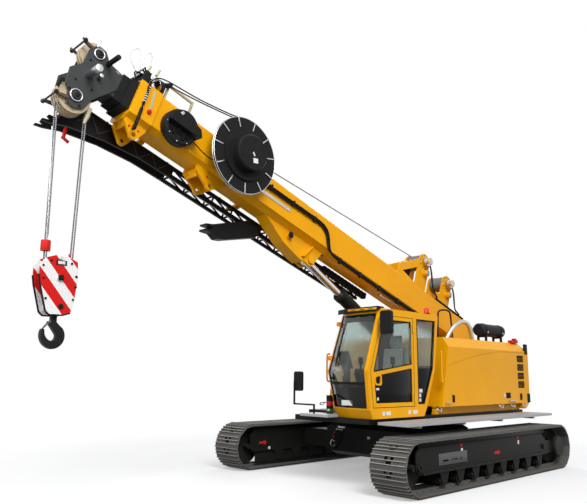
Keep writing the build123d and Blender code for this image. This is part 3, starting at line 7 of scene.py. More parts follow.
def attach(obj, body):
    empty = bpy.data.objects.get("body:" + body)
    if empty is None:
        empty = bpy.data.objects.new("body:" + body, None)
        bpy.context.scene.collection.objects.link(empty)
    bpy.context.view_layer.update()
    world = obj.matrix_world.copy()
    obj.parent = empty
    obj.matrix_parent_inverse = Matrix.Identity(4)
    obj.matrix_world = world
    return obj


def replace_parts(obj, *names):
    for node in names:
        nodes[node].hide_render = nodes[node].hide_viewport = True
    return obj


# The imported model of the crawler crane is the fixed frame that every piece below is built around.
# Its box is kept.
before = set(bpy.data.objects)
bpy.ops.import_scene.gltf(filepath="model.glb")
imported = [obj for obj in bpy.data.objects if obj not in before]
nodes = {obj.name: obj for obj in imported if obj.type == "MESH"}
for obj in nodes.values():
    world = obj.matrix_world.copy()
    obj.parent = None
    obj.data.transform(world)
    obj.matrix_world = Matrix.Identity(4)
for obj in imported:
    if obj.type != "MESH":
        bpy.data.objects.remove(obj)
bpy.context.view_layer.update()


# Studio: a pale floor that runs far out, an even pale sky, three soft lamps and a high sun.
# The camera stands low in front of the machine's left side and looks slightly up, as a person would.
def feed(tree, node, inputs):
    """Gives a node's inputs their values, or a link where an output socket is given."""
    for key, value in inputs.items():
        if isinstance(value, bpy.types.NodeSocket):
            tree.links.new(value, node.inputs[key])
        else:
            node.inputs[key].default_value = value


def add_node(tree, kind, inputs=None, **settings):
    """Adds a shader node with its settings and its inputs."""
    node = tree.nodes.new("ShaderNode" + kind)
    for name, value in settings.items():
        setattr(node, name, value)
    feed(tree, node, inputs or {})
    return node


def math_node(tree, operation, first, second, clamp=False):
    """The result of a calculation on two values or sockets."""
    return add_node(tree, "Math", {0: first, 1: second}, operation=operation, use_clamp=clamp).outputs[0]


def map_range(tree, value, limits):
    """A value stretched between the named limits and clamped to them."""
    return add_node(tree, "MapRange", {"Value": value, **limits}).outputs["Result"]


def mix_colours(tree, share, first, second, blend="MIX"):
    """A share of the second colour blended into the first."""
    mix = add_node(tree, "Mix", {"Factor": share, "A": first, "B": second}, data_type="RGBA",
                   blend_type=blend)
    return mix.outputs["Result"]


def background_rays(tree):
    """The camera's rays, and those rays together with the ones of reflections and glass."""
    path = add_node(tree, "LightPath").outputs
    seen = math_node(tree, "MAXIMUM", path["Is Camera Ray"], path["Is Glossy Ray"])
    return path["Is Camera Ray"], math_node(tree, "MAXIMUM", seen, path["Is Transmission Ray"])


def new_finish(name):
    """A new material with its node tree and its shader."""
    finish = bpy.data.materials.new(name)
    finish.use_nodes = True
    return finish, finish.node_tree, finish.node_tree.nodes["Principled BSDF"]


WHITE = (1.0, 1.0, 1.0, 1.0)
bpy.ops.mesh.primitive_plane_add(size=120.0, location=(0.0, 0.0, -0.002))
studio_floor = bpy.context.object
studio_floor.name = "studio_floor"
floor_finish, floor_tree, floor_shader = new_finish("studio_floor_white")
camera_rays, all_rays = background_rays(floor_tree)
feed(floor_tree, floor_shader, {
    "Base Color": mix_colours(floor_tree, camera_rays, (0.2, 0.2, 0.2, 1.0), (0.86, 0.86, 0.86, 1.0)),
    "Roughness": 0.9, "Specular IOR Level": 0.1,
})
floor_spot = add_node(floor_tree, "TexCoord").outputs["Object"]
floor_distance = add_node(floor_tree, "VectorMath", {0: floor_spot}, operation="LENGTH").outputs["Value"]
floor_fade = map_range(floor_tree, floor_distance, {"From Min": 4.5, "From Max": 8.0})
floor_share = math_node(floor_tree, "MULTIPLY", math_node(floor_tree, "MAXIMUM", floor_fade, 0.35), all_rays)
floor_glow = add_node(floor_tree, "Emission", {"Color": WHITE}).outputs[0]
floor_mix = add_node(floor_tree, "MixShader", {"Fac": floor_share, 1: floor_shader.outputs[0], 2: floor_glow})
feed(floor_tree, floor_tree.nodes["Material Output"], {"Surface": floor_mix.outputs[0]})
studio_floor.data.materials.append(floor_finish)

studio_world = bpy.data.worlds.new("studio_sky")
studio_world.use_nodes = True
bpy.context.scene.world = studio_world
sky_tree = studio_world.node_tree
sky_light = sky_tree.nodes["Background"]
feed(sky_tree, sky_light, {"Color": (0.93, 0.96, 1.0, 1.0), "Strength": 0.47})
sky_white = add_node(sky_tree, "Background", {"Color": WHITE, "Strength": 1.0}).outputs[0]
sky_share = background_rays(sky_tree)[1]
sky_mix = add_node(sky_tree, "MixShader", {"Fac": sky_share, 1: sky_light.outputs[0], 2: sky_white})
feed(sky_tree, sky_tree.nodes["World Output"], {"Surface": sky_mix.outputs[0]})


def add_lamp(name, kind, power, place, aim):
    """A lamp of a kind that stands at a place and shines at an aim."""
    lamp_data = bpy.data.lights.new(name, kind)
    lamp_data.energy = power
    lamp = bpy.data.objects.new(name, lamp_data)
    bpy.context.collection.objects.link(lamp)
    lamp.location = place
    lamp.rotation_euler = (Vector(aim) - Vector(place)).to_track_quat("-Z", "Y").to_euler()
    return lamp_data


for lamp_name, power, place, aim in (
    ("key_softbox", 1010.0, (7.0, 11.0, 10.0), (0.0, 0.5, 1.6)),
    ("front_softbox", 510.0, (14.0, 2.0, 6.0), (1.0, 0.0, 2.0)),
    ("rear_softbox", 560.0, (-9.0, -9.0, 9.0), (0.0, 0.0, 2.0)),
):
    softbox = add_lamp(lamp_name, "AREA", power, place, aim)
    softbox.shape = "DISK"
    softbox.size = 6.0
sun = add_lamp("high_sun", "SUN", 1.25, (3.0, 5.0, 7.0), (0.0, 0.0, 0.0))
sun.angle = math.radians(25.0)

heading, tilt, roll = math.radians(225.7), math.radians(11.2), math.radians(0.61)
ahead = Vector((math.cos(heading) * math.cos(tilt), math.sin(heading) * math.cos(tilt), math.sin(tilt)))
level_right = ahead.cross(Vector((0.0, 0.0, 1.0))).normalized()
level_up = level_right.cross(ahead)
camera_right = level_right * math.cos(roll) + level_up * math.sin(roll)
camera_up = level_up * math.cos(roll) - level_right * math.sin(roll)
camera_data = bpy.data.cameras.new("site_camera")
camera_data.sensor_width = 36.0
camera_data.lens = 622.0 / 587.0 * 36.0
camera = bpy.data.objects.new("site_camera", camera_data)
bpy.context.collection.objects.link(camera)
axes = Matrix((camera_right, camera_up, -ahead)).transposed().to_4x4()
camera.matrix_world = Matrix.Translation((9.46, 6.96, 1.59)) @ axes
bpy.context.scene.camera = camera
bpy.context.scene.view_settings.view_transform = "Standard"


# Undercarriage steelwork: carbody, axle beams, side frames and the deck, welded plate under dark enamel.
# The enamel is sprayed, slightly orange-peeled, dusty on what faces up, and rounded over at the plate edges.
def enamel_group():
    """Sprayed enamel: the paint's colour, its roughness and a normal with rounded edges and orange peel."""
    group = bpy.data.node_groups.get("sprayed_enamel")
    if group:
        return group
    group = bpy.data.node_groups.new("sprayed_enamel", "ShaderNodeTree")
    for socket, way, kind in (
        ("Paint", "INPUT", "Color"), ("Grime", "INPUT", "Color"), ("Grime Amount", "INPUT", "Float"),
        ("Gloss Roughness", "INPUT", "Float"), ("Peel", "INPUT", "Float"), ("Edge Radius", "INPUT", "Float"),
        ("Edge Wear", "INPUT", "Float"), ("Bare Metal", "INPUT", "Color"), ("Colour", "OUTPUT", "Color"),
        ("Roughness", "OUTPUT", "Float"), ("Normal", "OUTPUT", "Vector"),
    ):
        group.interface.new_socket(name=socket, in_out=way, socket_type="NodeSocket" + kind)
    given = group.nodes.new("NodeGroupInput").outputs
    spot = add_node(group, "TexCoord").outputs["Object"]
    blotch = add_node(group, "TexNoise", {"Vector": spot, "Scale": 1.7, "Detail": 6.0}).outputs["Fac"]
    speck = add_node(group, "TexNoise", {"Vector": spot, "Scale": 38.0, "Detail": 5.0}).outputs["Fac"]
    peel = add_node(group, "TexNoise", {"Vector": spot, "Scale": 220.0}).outputs["Fac"]
    shade = map_range(group, blotch, {"To Min": 0.9, "To Max": 1.06})
    toned = add_node(group, "VectorMath", {0: given["Paint"], "Scale": shade}, operation="SCALE").outputs[0]
    facing = add_node(group, "NewGeometry").outputs["Normal"]
    upward = add_node(group, "SeparateXYZ", {0: facing}).outputs["Z"]
    top_dust = map_range(group, upward, {"From Min": -0.1, "From Max": 1.0, "To Min": 0.25})
    specks = map_range(group, speck, {"From Min": 0.42, "From Max": 0.75})
    dust = math_node(group, "MULTIPLY", top_dust, specks)
    dust_share = math_node(group, "MULTIPLY", dust, given["Grime Amount"], clamp=True)
    dusty = mix_colours(group, dust_share, toned, given["Grime"])
    rounded = add_node(group, "Bevel", {"Radius": given["Edge Radius"]}, samples=4).outputs[0]
    bend = add_node(group, "VectorMath", {0: rounded, 1: facing}, operation="DOT_PRODUCT").outputs["Value"]
    edge = map_range(group, bend, {"From Min": 0.995, "From Max": 0.9})
    chips = map_range(group, speck, {"From Min": 0.5, "From Max": 0.62})
    worn_edge = math_node(group, "MULTIPLY", edge, chips)
    worn_share = math_node(group, "MULTIPLY", worn_edge, given["Edge Wear"], clamp=True)
    rough = add_node(group, "Math", {0: dust_share, 1: 0.35, 2: given["Gloss Roughness"]},
                     operation="MULTIPLY_ADD")
    bump = add_node(group, "Bump", {
        "Distance": 0.002, "Strength": given["Peel"], "Height": peel, "Normal": rounded,
    })
    feed(group, group.nodes.new("NodeGroupOutput"), {
        "Colour": mix_colours(group, worn_share, dusty, given["Bare Metal"]),
        "Roughness": rough.outputs[0], "Normal": bump.outputs["Normal"],
    })
    return group


def enamel(name, paint, grime, grime_amount, roughness, peel=0.05, edge_radius=0.006,
           edge_wear=0.2, coat=0.0, metallic=0.0, bare=(0.3, 0.29, 0.27), specular=0.07):
    """A finish from the sprayed enamel group."""
    finish, tree, shader = new_finish(name)
    effect = add_node(tree, "Group", node_tree=enamel_group())
    feed(tree, effect, {
        "Paint": (*paint, 1.0), "Grime": (*grime, 1.0), "Grime Amount": grime_amount,
        "Gloss Roughness": roughness, "Peel": peel, "Edge Radius": edge_radius, "Edge Wear": edge_wear,
        "Bare Metal": (*bare, 1.0),
    })
    feed(tree, shader, {
        "Coat Weight": coat, "Coat Roughness": 0.08, "Metallic": metallic, "Specular IOR Level": specular,
        "Base Color": effect.outputs["Colour"], "Roughness": effect.outputs["Roughness"],
        "Normal": effect.outputs["Normal"],
    })
    return finish


def paint_nodes(finish, *names):
    """Puts one finish on the named CAD nodes."""
    for name in names:
        materials = nodes[name].data.materials
        materials.clear()
        materials.append(finish)


UNDER_PAINT = enamel("undercarriage_enamel", (0.0125, 0.014, 0.012), (0.05, 0.047, 0.042), 0.3, 0.3,
                     edge_radius=0.009, edge_wear=0.45, bare=(0.16, 0.16, 0.15))
paint_nodes(UNDER_PAINT, "carbody", "track_frame_left", "track_frame_right", "slew_deck")
SIDES = (1.0, -1.0)


def clear_pick():
    """Leaves edit mode and deselects every object."""
    if bpy.context.object and bpy.context.object.mode != "OBJECT":
        bpy.ops.object.mode_set(mode="OBJECT")
    bpy.ops.object.select_all(action="DESELECT")


def pick_faces(obj, wanted):
    """Selects only those faces of the edited mesh that the test accepts."""
    bpy.ops.mesh.select_all(action="DESELECT")
    edited = bmesh.from_edit_mesh(obj.data)
    for face in [face for face in edited.faces if wanted(face)]:
        face.select_set(True)
    bmesh.update_edit_mesh(obj.data)


def extrude(move):
    """Extrudes the selected faces along a move."""
    bpy.ops.mesh.extrude_region_move(TRANSFORM_OT_translate={"value": move})


def soften_edges(obj, width, angle=30.0, segments=2):
    """Bevels the edges of a part that bend by more than an angle in degrees."""
    if width:
        edge = obj.modifiers.new("edge", "BEVEL")
        edge.width = width
        edge.segments = segments
        edge.limit_method = "ANGLE"
        edge.angle_limit = math.radians(angle)
        bpy.ops.object.modifier_apply(modifier="edge")
    return obj


def plate(size, place, turn=(0.0, 0.0, 0.0), soften=0.003):
    """A plate or block with softened edges: a cube brought to its size and bevelled."""
    clear_pick()
    bpy.ops.mesh.primitive_cube_add(size=1.0, location=place, rotation=turn)
    obj = bpy.context.object
    obj.scale = size
    bpy.ops.object.transform_apply(location=False, rotation=False, scale=True)
    return soften_edges(obj, soften)


def pitched(degrees):
    """A turn about the axis that runs across the machine."""
    return (0.0, math.radians(degrees), 0.0)


def bar(start, end, radius, sides=14, soften=0.0, tip=None):
    """A turned bar from one point to another, with softened ends; tip is the radius at its far end."""
    start, end = Vector(start), Vector(end)
    run = end - start
    clear_pick()
    bpy.ops.mesh.primitive_cone_add(
        vertices=sides, radius1=radius, radius2=radius if tip is None else tip, depth=run.length,
        location=(start + end) / 2, rotation=run.to_track_quat("Z", "Y").to_euler(),
    )
    return soften_edges(bpy.context.object, soften, angle=50.0)


def cross_bar(x, z, low_y, high_y, radius, **shape):
    """A turned bar that lies across the machine, from one Y to another."""
    return bar((x, low_y, z), (x, high_y, z), radius, **shape)


def even_turns(count, first=0.0):
    """Angles that go evenly round a circle."""
    return [n * math.tau / count + first for n in range(count)]


def bolt_circle(turns, reach, centre, low_y, high_y, radius, **shape):
    """Bolts at some turns round a centre in X and Z, each from one Y to another."""
    places = [(centre[0] + reach * math.cos(turn), centre[1] + reach * math.sin(turn)) for turn in turns]
    return [cross_bar(x, z, low_y, high_y, radius, **shape) for x, z in places]


def placed_copy(part, place):
    """A copy of a part that has its own mesh, moved by a place matrix."""
    copy = part.copy()
    copy.data = part.data.copy()
    copy.data.transform(place)
    bpy.context.collection.objects.link(copy)
    return copy


def join_parts(parts):
    """Joins modelled parts into one mesh whose coordinates are those of the frame."""
    clear_pick()
    for part in parts:
        part.select_set(True)
    bpy.context.view_layer.objects.active = parts[0]
    if len(parts) > 1:
        bpy.ops.object.join()
    bpy.ops.object.transform_apply(location=True, rotation=True, scale=True)
    return parts[0]


body_places = {}


def finish_piece(parts, name, body, finish, smooth=35.0):
    """Joins a piece's parts, moves them to their body's place, finishes them and hangs them on the body."""
    obj = join_parts(parts)
    if body in body_places:
        obj.data.transform(body_places[body])
    if smooth:
        bpy.ops.object.shade_smooth_by_angle(angle=math.radians(smooth))
    obj.name = name
    obj.data.name = name
    obj.data.materials.clear()
    obj.data.materials.append(finish)
    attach(obj, body)
    return obj


# Tracks: 64 rolled steel shoes a side with three grouser bars, bolted to forged chain links.
# The bars are worn bright, and the pockets between them are painted near-black as shade. One shoe is made and
# copied round.
TRACK_STEEL = enamel("track_shoe_steel", (0.135, 0.13, 0.122), (0.07, 0.062, 0.05), 0.6, 0.5,
                     edge_radius=0.004, edge_wear=0.6, metallic=0.2, bare=(0.40, 0.39, 0.37), peel=0.25)
WORN_STEEL = enamel("worn_grouser_steel", (0.46, 0.45, 0.42), (0.16, 0.15, 0.13), 0.5, 0.36,
                    edge_radius=0.002, edge_wear=0.2, metallic=0.35, peel=0.2)
# Painted shade: the pockets' near-black finish stands in for the shade in the recesses.
POCKET_SHADE = enamel("pocket_painted_shade", (0.008, 0.007, 0.006), (0.02, 0.017, 0.013), 0.4, 0.9, edge_wear=0.0,
                     peel=0.3)
SHOES = 64
WHEEL_BASE = 4.4
TRACK_MIDDLE_Y = 1.7
TRACK_Z = 0.38
SHOE_LINE = 0.352
PITCH_LINE = 0.335
HALF_TURN_LENGTH = math.pi * PITCH_LINE
RUN_LENGTH = 2.0 * (WHEEL_BASE + HALF_TURN_LENGTH)
SHOE_PITCH = RUN_LENGTH / SHOES
GROUSER_X = (-0.064, -0.007, 0.05)
GROUSER_HALF = 0.008
GROUSER_HEIGHT = 0.026
POCKETS = ((-0.056, -0.015, 0.022, 0.075), (-0.056, -0.015, -0.075, -0.022), (0.001, 0.042, -0.045, 0.045))
shoe = plate((SHOE_PITCH * 0.99, 0.6, 0.014), (0.0, 0.0, 0.0), soften=0.0)
bpy.ops.object.mode_set(mode="EDIT")
cuts = [((x + lean, 0.0, 0.0), (1.0, 0.0, 0.0)) for x in GROUSER_X for lean in (-GROUSER_HALF, GROUSER_HALF)]
cuts += [((0.0, y, 0.0), (0.0, 1.0, 0.0)) for y in (-0.075, -0.045, -0.022, 0.022, 0.045, 0.075)]
for cut_place, cut_facing in cuts:
    bpy.ops.mesh.select_all(action="SELECT")
    bpy.ops.mesh.bisect(plane_co=cut_place, plane_no=cut_facing)
pick_faces(shoe, lambda face: face.normal.x > 0.9)
extrude((0.014, 0.0, -0.011))
for grouser_x in GROUSER_X:
    pick_faces(shoe,
               lambda face: face.normal.z > 0.9 and abs(face.calc_center_median().x - grouser_x) < 0.007)
    extrude((0.0, 0.0, GROUSER_HEIGHT))
    bpy.ops.transform.resize(value=(0.5, 0.985, 1.0))
for low_x, high_x, low_y, high_y in POCKETS:
    pick_faces(shoe, lambda face: face.normal.z > 0.9 and low_x < face.calc_center_median().x < high_x
               and low_y < face.calc_center_median().y < high_y)
    extrude((0.0, 0.0, -0.009))
bpy.ops.object.mode_set(mode="OBJECT")
shoe.location.z = -0.007
shoe_parts = [shoe]
for bolt_y in (-0.135, -0.085, 0.085, 0.135):
    shoe_parts.append(bar((0.022, bolt_y, -0.002), (0.022, bolt_y, 0.011), 0.012, sides=6))
for link_y in (-0.09, 0.09):
    shoe_parts.append(plate((SHOE_PITCH * 0.93, 0.042, 0.036), (0.0, link_y, -0.032), soften=0.0))
    shoe_parts.append(cross_bar(SHOE_PITCH / 2, -0.036, link_y - 0.03, link_y + 0.03, 0.019, sides=10))
join_parts(shoe_parts)
shoe_finishes = []
for polygon in shoe.data.polygons:
    flat = polygon.normal.z > 0.9
    # Faces in the pockets get the near-black painted shade.
    in_pocket = flat and -0.012 < polygon.center.z < -0.005
    shoe_finishes.append(1 if flat and polygon.center.z > 0.02 else 2 if in_pocket else 0)


def track_place(distance):
    """Place of a shoe at a distance along the loop; local X runs with the track and Z points outwards."""
    half = WHEEL_BASE / 2
    on_return = distance % RUN_LENGTH >= WHEEL_BASE + HALF_TURN_LENGTH
    along = distance % RUN_LENGTH - (WHEEL_BASE + HALF_TURN_LENGTH if on_return else 0.0)
    turn = max(0.0, (along - WHEEL_BASE) / PITCH_LINE) + (math.pi if on_return else 0.0)
    x = -half + min(along, WHEEL_BASE)
    x = -x if on_return else x
    return (Matrix.Translation((x + SHOE_LINE * math.sin(turn), 0.0, TRACK_Z + SHOE_LINE * math.cos(turn)))
            @ Matrix.Rotation(turn, 4, "Y"))


for side_name, side in (("left", 1.0), ("right", -1.0)):
    middle = Matrix.Translation((0.0, side * TRACK_MIDDLE_Y, 0.0))
    copies = [placed_copy(shoe, middle @ track_place((n + 0.3) * SHOE_PITCH)) for n in range(SHOES)]
    track = finish_piece(copies, "track_shoes_" + side_name, "undercarriage", TRACK_STEEL, smooth=None)
    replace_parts(track, "track_" + side_name)
    track.data.materials.append(WORN_STEEL)
    track.data.materials.append(POCKET_SHADE)
    track.data.polygons.foreach_set("material_index", shoe_finishes * SHOES)
bpy.data.objects.remove(shoe)

# Rollers, idlers and sprockets: cast steel under a dark coat, greased and dusty.
# The coat is worn through at their edges.
WHEEL_PAINT = enamel("running_gear_steel", (0.02, 0.02, 0.019), (0.07, 0.062, 0.054), 0.5, 0.45,
                     edge_wear=0.5, bare=(0.3, 0.285, 0.26))
paint_nodes(WHEEL_PAINT, "track_wheels", "track_rollers")

# Marks on the side frames: blank red pointers and small white tags, stuck on, and a cast relief plate.
# The pointers are cut from thin sheet. The relief plate is grey iron with raised blank blocks.
RED_MARK = enamel("red_marking_enamel", (0.62, 0.02, 0.015), (0.2, 0.05, 0.04), 0.2, 0.35,
                  edge_radius=0.0005, edge_wear=0.0)
WHITE_TAG = enamel("white_tag_plate", (0.72, 0.72, 0.70), (0.4, 0.38, 0.35), 0.25, 0.4,
                   edge_radius=0.0005, edge_wear=0.0)


def outline_face(points):
    """Starts a flat part in edit mode: one selected face with the given corners."""
    clear_pick()
    bpy.ops.mesh.primitive_circle_add(vertices=len(points), radius=1.0, fill_type="NGON")
    obj = bpy.context.object
    for vertex, point in zip(obj.data.vertices, points):
        vertex.co = point
    bpy.ops.object.mode_set(mode="EDIT")
    bpy.ops.mesh.select_all(action="SELECT")
    return obj


def close_outline(move):
    """Extrudes what is selected, turns the faces outwards and leaves edit mode."""
    extrude(move)
    bpy.ops.mesh.select_all(action="SELECT")
    bpy.ops.mesh.normals_make_consistent(inside=False)
    bpy.ops.object.mode_set(mode="OBJECT")


def mark_shape(points, place, turn):
    """A thin flat mark cut to an outline, standing proud of the plate that it is stuck on."""
    obj = outline_face([(x, y, 0.0) for x, y in points])
    bpy.ops.mesh.normals_make_consistent(inside=False)
    close_outline((0.0, 0.0, 0.002))
    obj.data.transform(Matrix.Translation(place) @ turn)
    return obj


ARROW = ((0.09, 0.0), (0.02, 0.045), (0.02, 0.02), (-0.09, 0.02), (-0.09, -0.02), (0.02, -0.02),
         (0.02, -0.045))
TRIANGLE = ((0.0, -0.04), (0.04, 0.03), (-0.04, 0.03))
FACE_LEFT = Matrix(((-1, 0, 0, 0), (0, 0, 1, 0), (0, 1, 0, 0), (0, 0, 0, 1)))
FACE_RIGHT = Matrix(((1, 0, 0, 0), (0, 0, -1, 0), (0, 1, 0, 0), (0, 0, 0, 1)))
red_marks, white_tags = [], []
for face_y, turn, arrow_x in ((1.901, FACE_LEFT, -0.02), (-1.901, FACE_RIGHT, -0.02),
                              (1.499, FACE_RIGHT, 1.9),
                              (-1.499, FACE_LEFT, 1.9)):
    red_marks.append(mark_shape(ARROW, (arrow_x, face_y, 0.43), turn))
    if abs(face_y) > TRACK_MIDDLE_Y:
        for mark_x in (1.026, -0.744):
            red_marks.append(mark_shape(TRIANGLE, (mark_x + 0.02, face_y, 0.6), turn))
            white_tags.append(plate((0.05, 0.004, 0.06), (mark_x, face_y, 0.535), soften=0.001))
    else:
        white_tags.append(plate((0.05, 0.004, 0.05), (1.75, face_y, 0.33), soften=0.001))
finish_piece(red_marks, "track_red_marks", "undercarriage", RED_MARK, smooth=None)
finish_piece(white_tags, "track_white_tags", "undercarriage", WHITE_TAG)
CAST_GREY = enamel("cast_relief_grey", (0.11, 0.112, 0.11), (0.07, 0.065, 0.06), 0.5, 0.4,
                   metallic=0.5, edge_wear=0.7)
relief_parts = []
for face_y in (1.902, -1.902):
    relief_parts.append(plate((0.76, 0.006, 0.16), (1.27, face_y, 0.45)))
    for x, z, width, height in ((1.5, 0.45, 0.2, 0.1), (1.24, 0.46, 0.18, 0.07), (1.02, 0.44, 0.16, 0.08),
                                (1.3, 0.43, 0.5, 0.03)):
        relief_parts.append(plate((width, 0.012, height), (x, face_y, z), soften=0.004))
finish_piece(relief_parts, "frame_relief_plates", "undercarriage", CAST_GREY)

# Slewing ring: a machined steel ring, greased dark.
# It lies between the carbody and the deck.
RING_STEEL = enamel("ring_gear_steel", (0.07, 0.07, 0.066), (0.02, 0.018, 0.016), 0.6, 0.4, metallic=0.6,
                    edge_wear=0.5, bare=(0.5, 0.48, 0.45))
paint_nodes(RING_STEEL, "slew_ring")

# Dark fill of the track frames: rails stand on the frame's top beside the links, and a plate closes it behind
# the rollers and keeps the frame's inside dark. Both are painted with the frames.
frame_fill_parts = []
for side in SIDES:
    for rail_offset in (-0.186, 0.186):
        rail_place = (0.19, side * (TRACK_MIDDLE_Y + rail_offset), 0.665)
        frame_fill_parts.append(plate((3.86, 0.016, 0.075), rail_place, soften=0.004))
    # The plate behind the rollers darkens the frame's inside.
    frame_fill_parts.append(plate((3.86, 0.008, 0.225), (0.13, side * 1.533, 0.2), soften=0.002))
finish_piece(frame_fill_parts, "track_frame_fill_plates", "undercarriage", UNDER_PAINT)

# Housing and counterweight: pressed steel covers over the engine and a cast weight, all in chrome yellow.
# The enamel is glossy and a little dusty on top. Rubber buffers sit at the covers' rear corners.
YELLOW = enamel("chrome_yellow_enamel", (0.84, 0.375, 0.001), (0.34, 0.19, 0.04), 0.1, 0.32,
                coat=0.03, edge_wear=0.05, bare=(0.42, 0.22, 0.03), specular=0.12)
paint_nodes(YELLOW, "housing_left", "housing_right", "counterweight")
BLACK_RUBBER = enamel("black_rubber_seal", (0.012, 0.012, 0.012), (0.05, 0.05, 0.05), 0.3, 0.6,
                      peel=0.2, edge_wear=0.0)
SILVER = enamel("zinc_plated_steel", (0.55, 0.56, 0.57), (0.25, 0.24, 0.22), 0.3, 0.28,
                metallic=1.0, peel=0.1, edge_wear=0.1, edge_radius=0.001)
COVER_Y = 1.25
buffers = []
for side in SIDES:
    for x, z, width, height in ((-2.585, 2.14, 0.13, 0.2), (-2.6, 1.2, 0.12, 0.17)):
        buffers.append(plate((width, 0.03, height), (x, side * (COVER_Y - 0.008), z), soften=0.008))
finish_piece(buffers, "housing_corner_buffers", "upper", BLACK_RUBBER)

# Vent louvres: five pressed slats stand in each of the four square openings behind the housing's door.
# Each slat leans outwards at its top edge.
slats = []
for side in SIDES:
    for row in range(4):
        for slat in range(5):
            slat_place = (-2.325, side * (COVER_Y - 0.007), 1.995 - row * 0.162 - slat * 0.026)
            slat_turn = (side * math.radians(-38.0), 0.0, 0.0)
            slats.append(plate((0.262, 0.003, 0.022), slat_place, turn=slat_turn, soften=0.0))
finish_piece(slats, "vent_louvres", "upper", BLACK_RUBBER, smooth=None)

# Paddle latches, lock recesses and folded grab handles of the covers.
# Each latch is a black moulded cup with a tapered lever, and each handle is bent from bright round bar.
latches, handles = [], []
for side in SIDES:
    for x, z in ((0.141, 1.236), (-2.275, 1.231)):
        latches.append(plate((0.07, 0.012, 0.12), (x, side * (COVER_Y + 0.004), z), soften=0.005))
        lever_low, lever_high = (x, side * (COVER_Y + 0.006), z - 0.03), (x, side * (COVER_Y + 0.022),
                                                                          z + 0.04)
        latches.append(bar(lever_low, lever_high, 0.02, tip=0.009, soften=0.003))
    latches.append(plate((0.17, 0.01, 0.1), (-1.77, side * (COVER_Y + 0.003), 1.262), soften=0.004))
    for x, z, half in ((-1.9, 1.16, 0.13), (0.33, 1.17, 0.07)):
        root, grip = side * (COVER_Y - 0.045), side * (COVER_Y + 0.03)
        bends = ((x - half, root, z), (x - half, grip, z), (x + half, grip, z), (x + half, root, z))
        handles.extend([bar(start, end, 0.009) for start, end in zip(bends, bends[1:])])
finish_piece(latches, "cover_latches", "upper", BLACK_RUBBER)
finish_piece(handles, "cover_handles", "upper", SILVER)

# Catwalk: aluminium tread plate with raised bars pressed into it, scuffed by boots.
# The bars lie crosswise in turn. One is modelled with sloping sides and copied over the plates.
WALK_GREY = enamel("walkway_aluminium", (0.42, 0.43, 0.44), (0.22, 0.21, 0.19), 0.5, 0.42,
                   metallic=0.35, edge_wear=0.2)
paint_nodes(WALK_GREY, "catwalk")
STUD_STEP = 0.075
stud = plate((0.034, 0.009, 0.003), (0.0, 0.0, 0.0), soften=0.0)
bpy.ops.object.mode_set(mode="EDIT")
pick_faces(stud, lambda face: face.normal.z > 0.9)
bpy.ops.transform.resize(value=(0.7, 0.5, 1.0))
bpy.ops.object.mode_set(mode="OBJECT")
studs = []
for low_x, high_x, low_y, high_y, top_z in ((-2.38, 2.16, 1.28, 1.75, 0.945), (2.31, 2.5, 0.05, 0.58, 1.025)):
    for column in range(int((high_x - low_x) / STUD_STEP)):
        for row in range(int((high_y - low_y) / STUD_STEP)):
            turn = Matrix.Rotation(math.radians(45.0 if (column + row) % 2 else -45.0), 4, "Z")
            x, y = low_x + (column + 0.5) * STUD_STEP, low_y + (row + 0.5) * STUD_STEP
            studs.append(placed_copy(stud, Matrix.Translation((x, y, top_z + 0.001)) @ turn))
bpy.data.objects.remove(stud)
finish_piece(studs, "tread_studs", "upper", WALK_GREY, smooth=None)

# Exhaust muffler: a rolled sheet drum in heat-resistant black, with clamp bolts on its straps.
# A silver breather hose and a bent black handrail stand beside it on the housing's roof.
BLACK_COAT = enamel("black_powder_coat", (0.012, 0.012, 0.0125), (0.06, 0.056, 0.05), 0.22, 0.4,
                    edge_wear=0.12)
paint_nodes(BLACK_COAT, "muffler")


def tube(points, radius, name, body, finish, sides=4):
    """A bent pipe or fixed hose along points: a smooth curve with a round section, made a mesh."""
    clear_pick()
    curve = bpy.data.curves.new(name + "_line", "CURVE")
    curve.dimensions = "3D"
    curve.bevel_depth = radius
    curve.bevel_resolution = sides
    curve.resolution_u = 8
    curve.use_fill_caps = True
    line = curve.splines.new("NURBS")
    line.points.add(len(points) - 1)
    for spot, point in zip(line.points, points):
        spot.co = (*point, 1.0)
    line.order_u = 3
    line.use_endpoint_u = True
    obj = bpy.data.objects.new(name, curve)
    bpy.context.collection.objects.link(obj)
    obj.select_set(True)
    bpy.context.view_layer.objects.active = obj
    bpy.ops.object.convert(target="MESH")
    return finish_piece([bpy.context.object], name, body, finish, smooth=60.0)


tube(((-1.2, 0.88, 2.26), (-1.12, 0.9, 2.5), (-1.0, 0.86, 2.62), (-0.8, 0.8, 2.56), (-0.62, 0.75, 2.4),
      (-0.55, 0.72, 2.26)), 0.04, "breather_hose", "upper", SILVER)
tube(((-0.55, 0.55, 2.26), (-0.56, 0.55, 2.72), (-0.62, 0.55, 2.82), (-0.95, 0.55, 2.84), (-1.02, 0.55, 2.75),
      (-1.05, 0.55, 2.26)), 0.016, "loop_handrail", "upper", BLACK_COAT)
clamp_parts = []
for band_x in (-2.06, -1.48):
    for side in SIDES:
        clamp_parts.append(plate((0.03, 0.02, 0.03), (band_x, 0.93 + side * 0.125, 2.43)))
    clamp_parts.append(bar((band_x, 0.80, 2.41), (band_x, 0.80, 2.46), 0.006, sides=6))
finish_piece(clamp_parts, "muffler_clamp_bolts", "upper", SILVER)

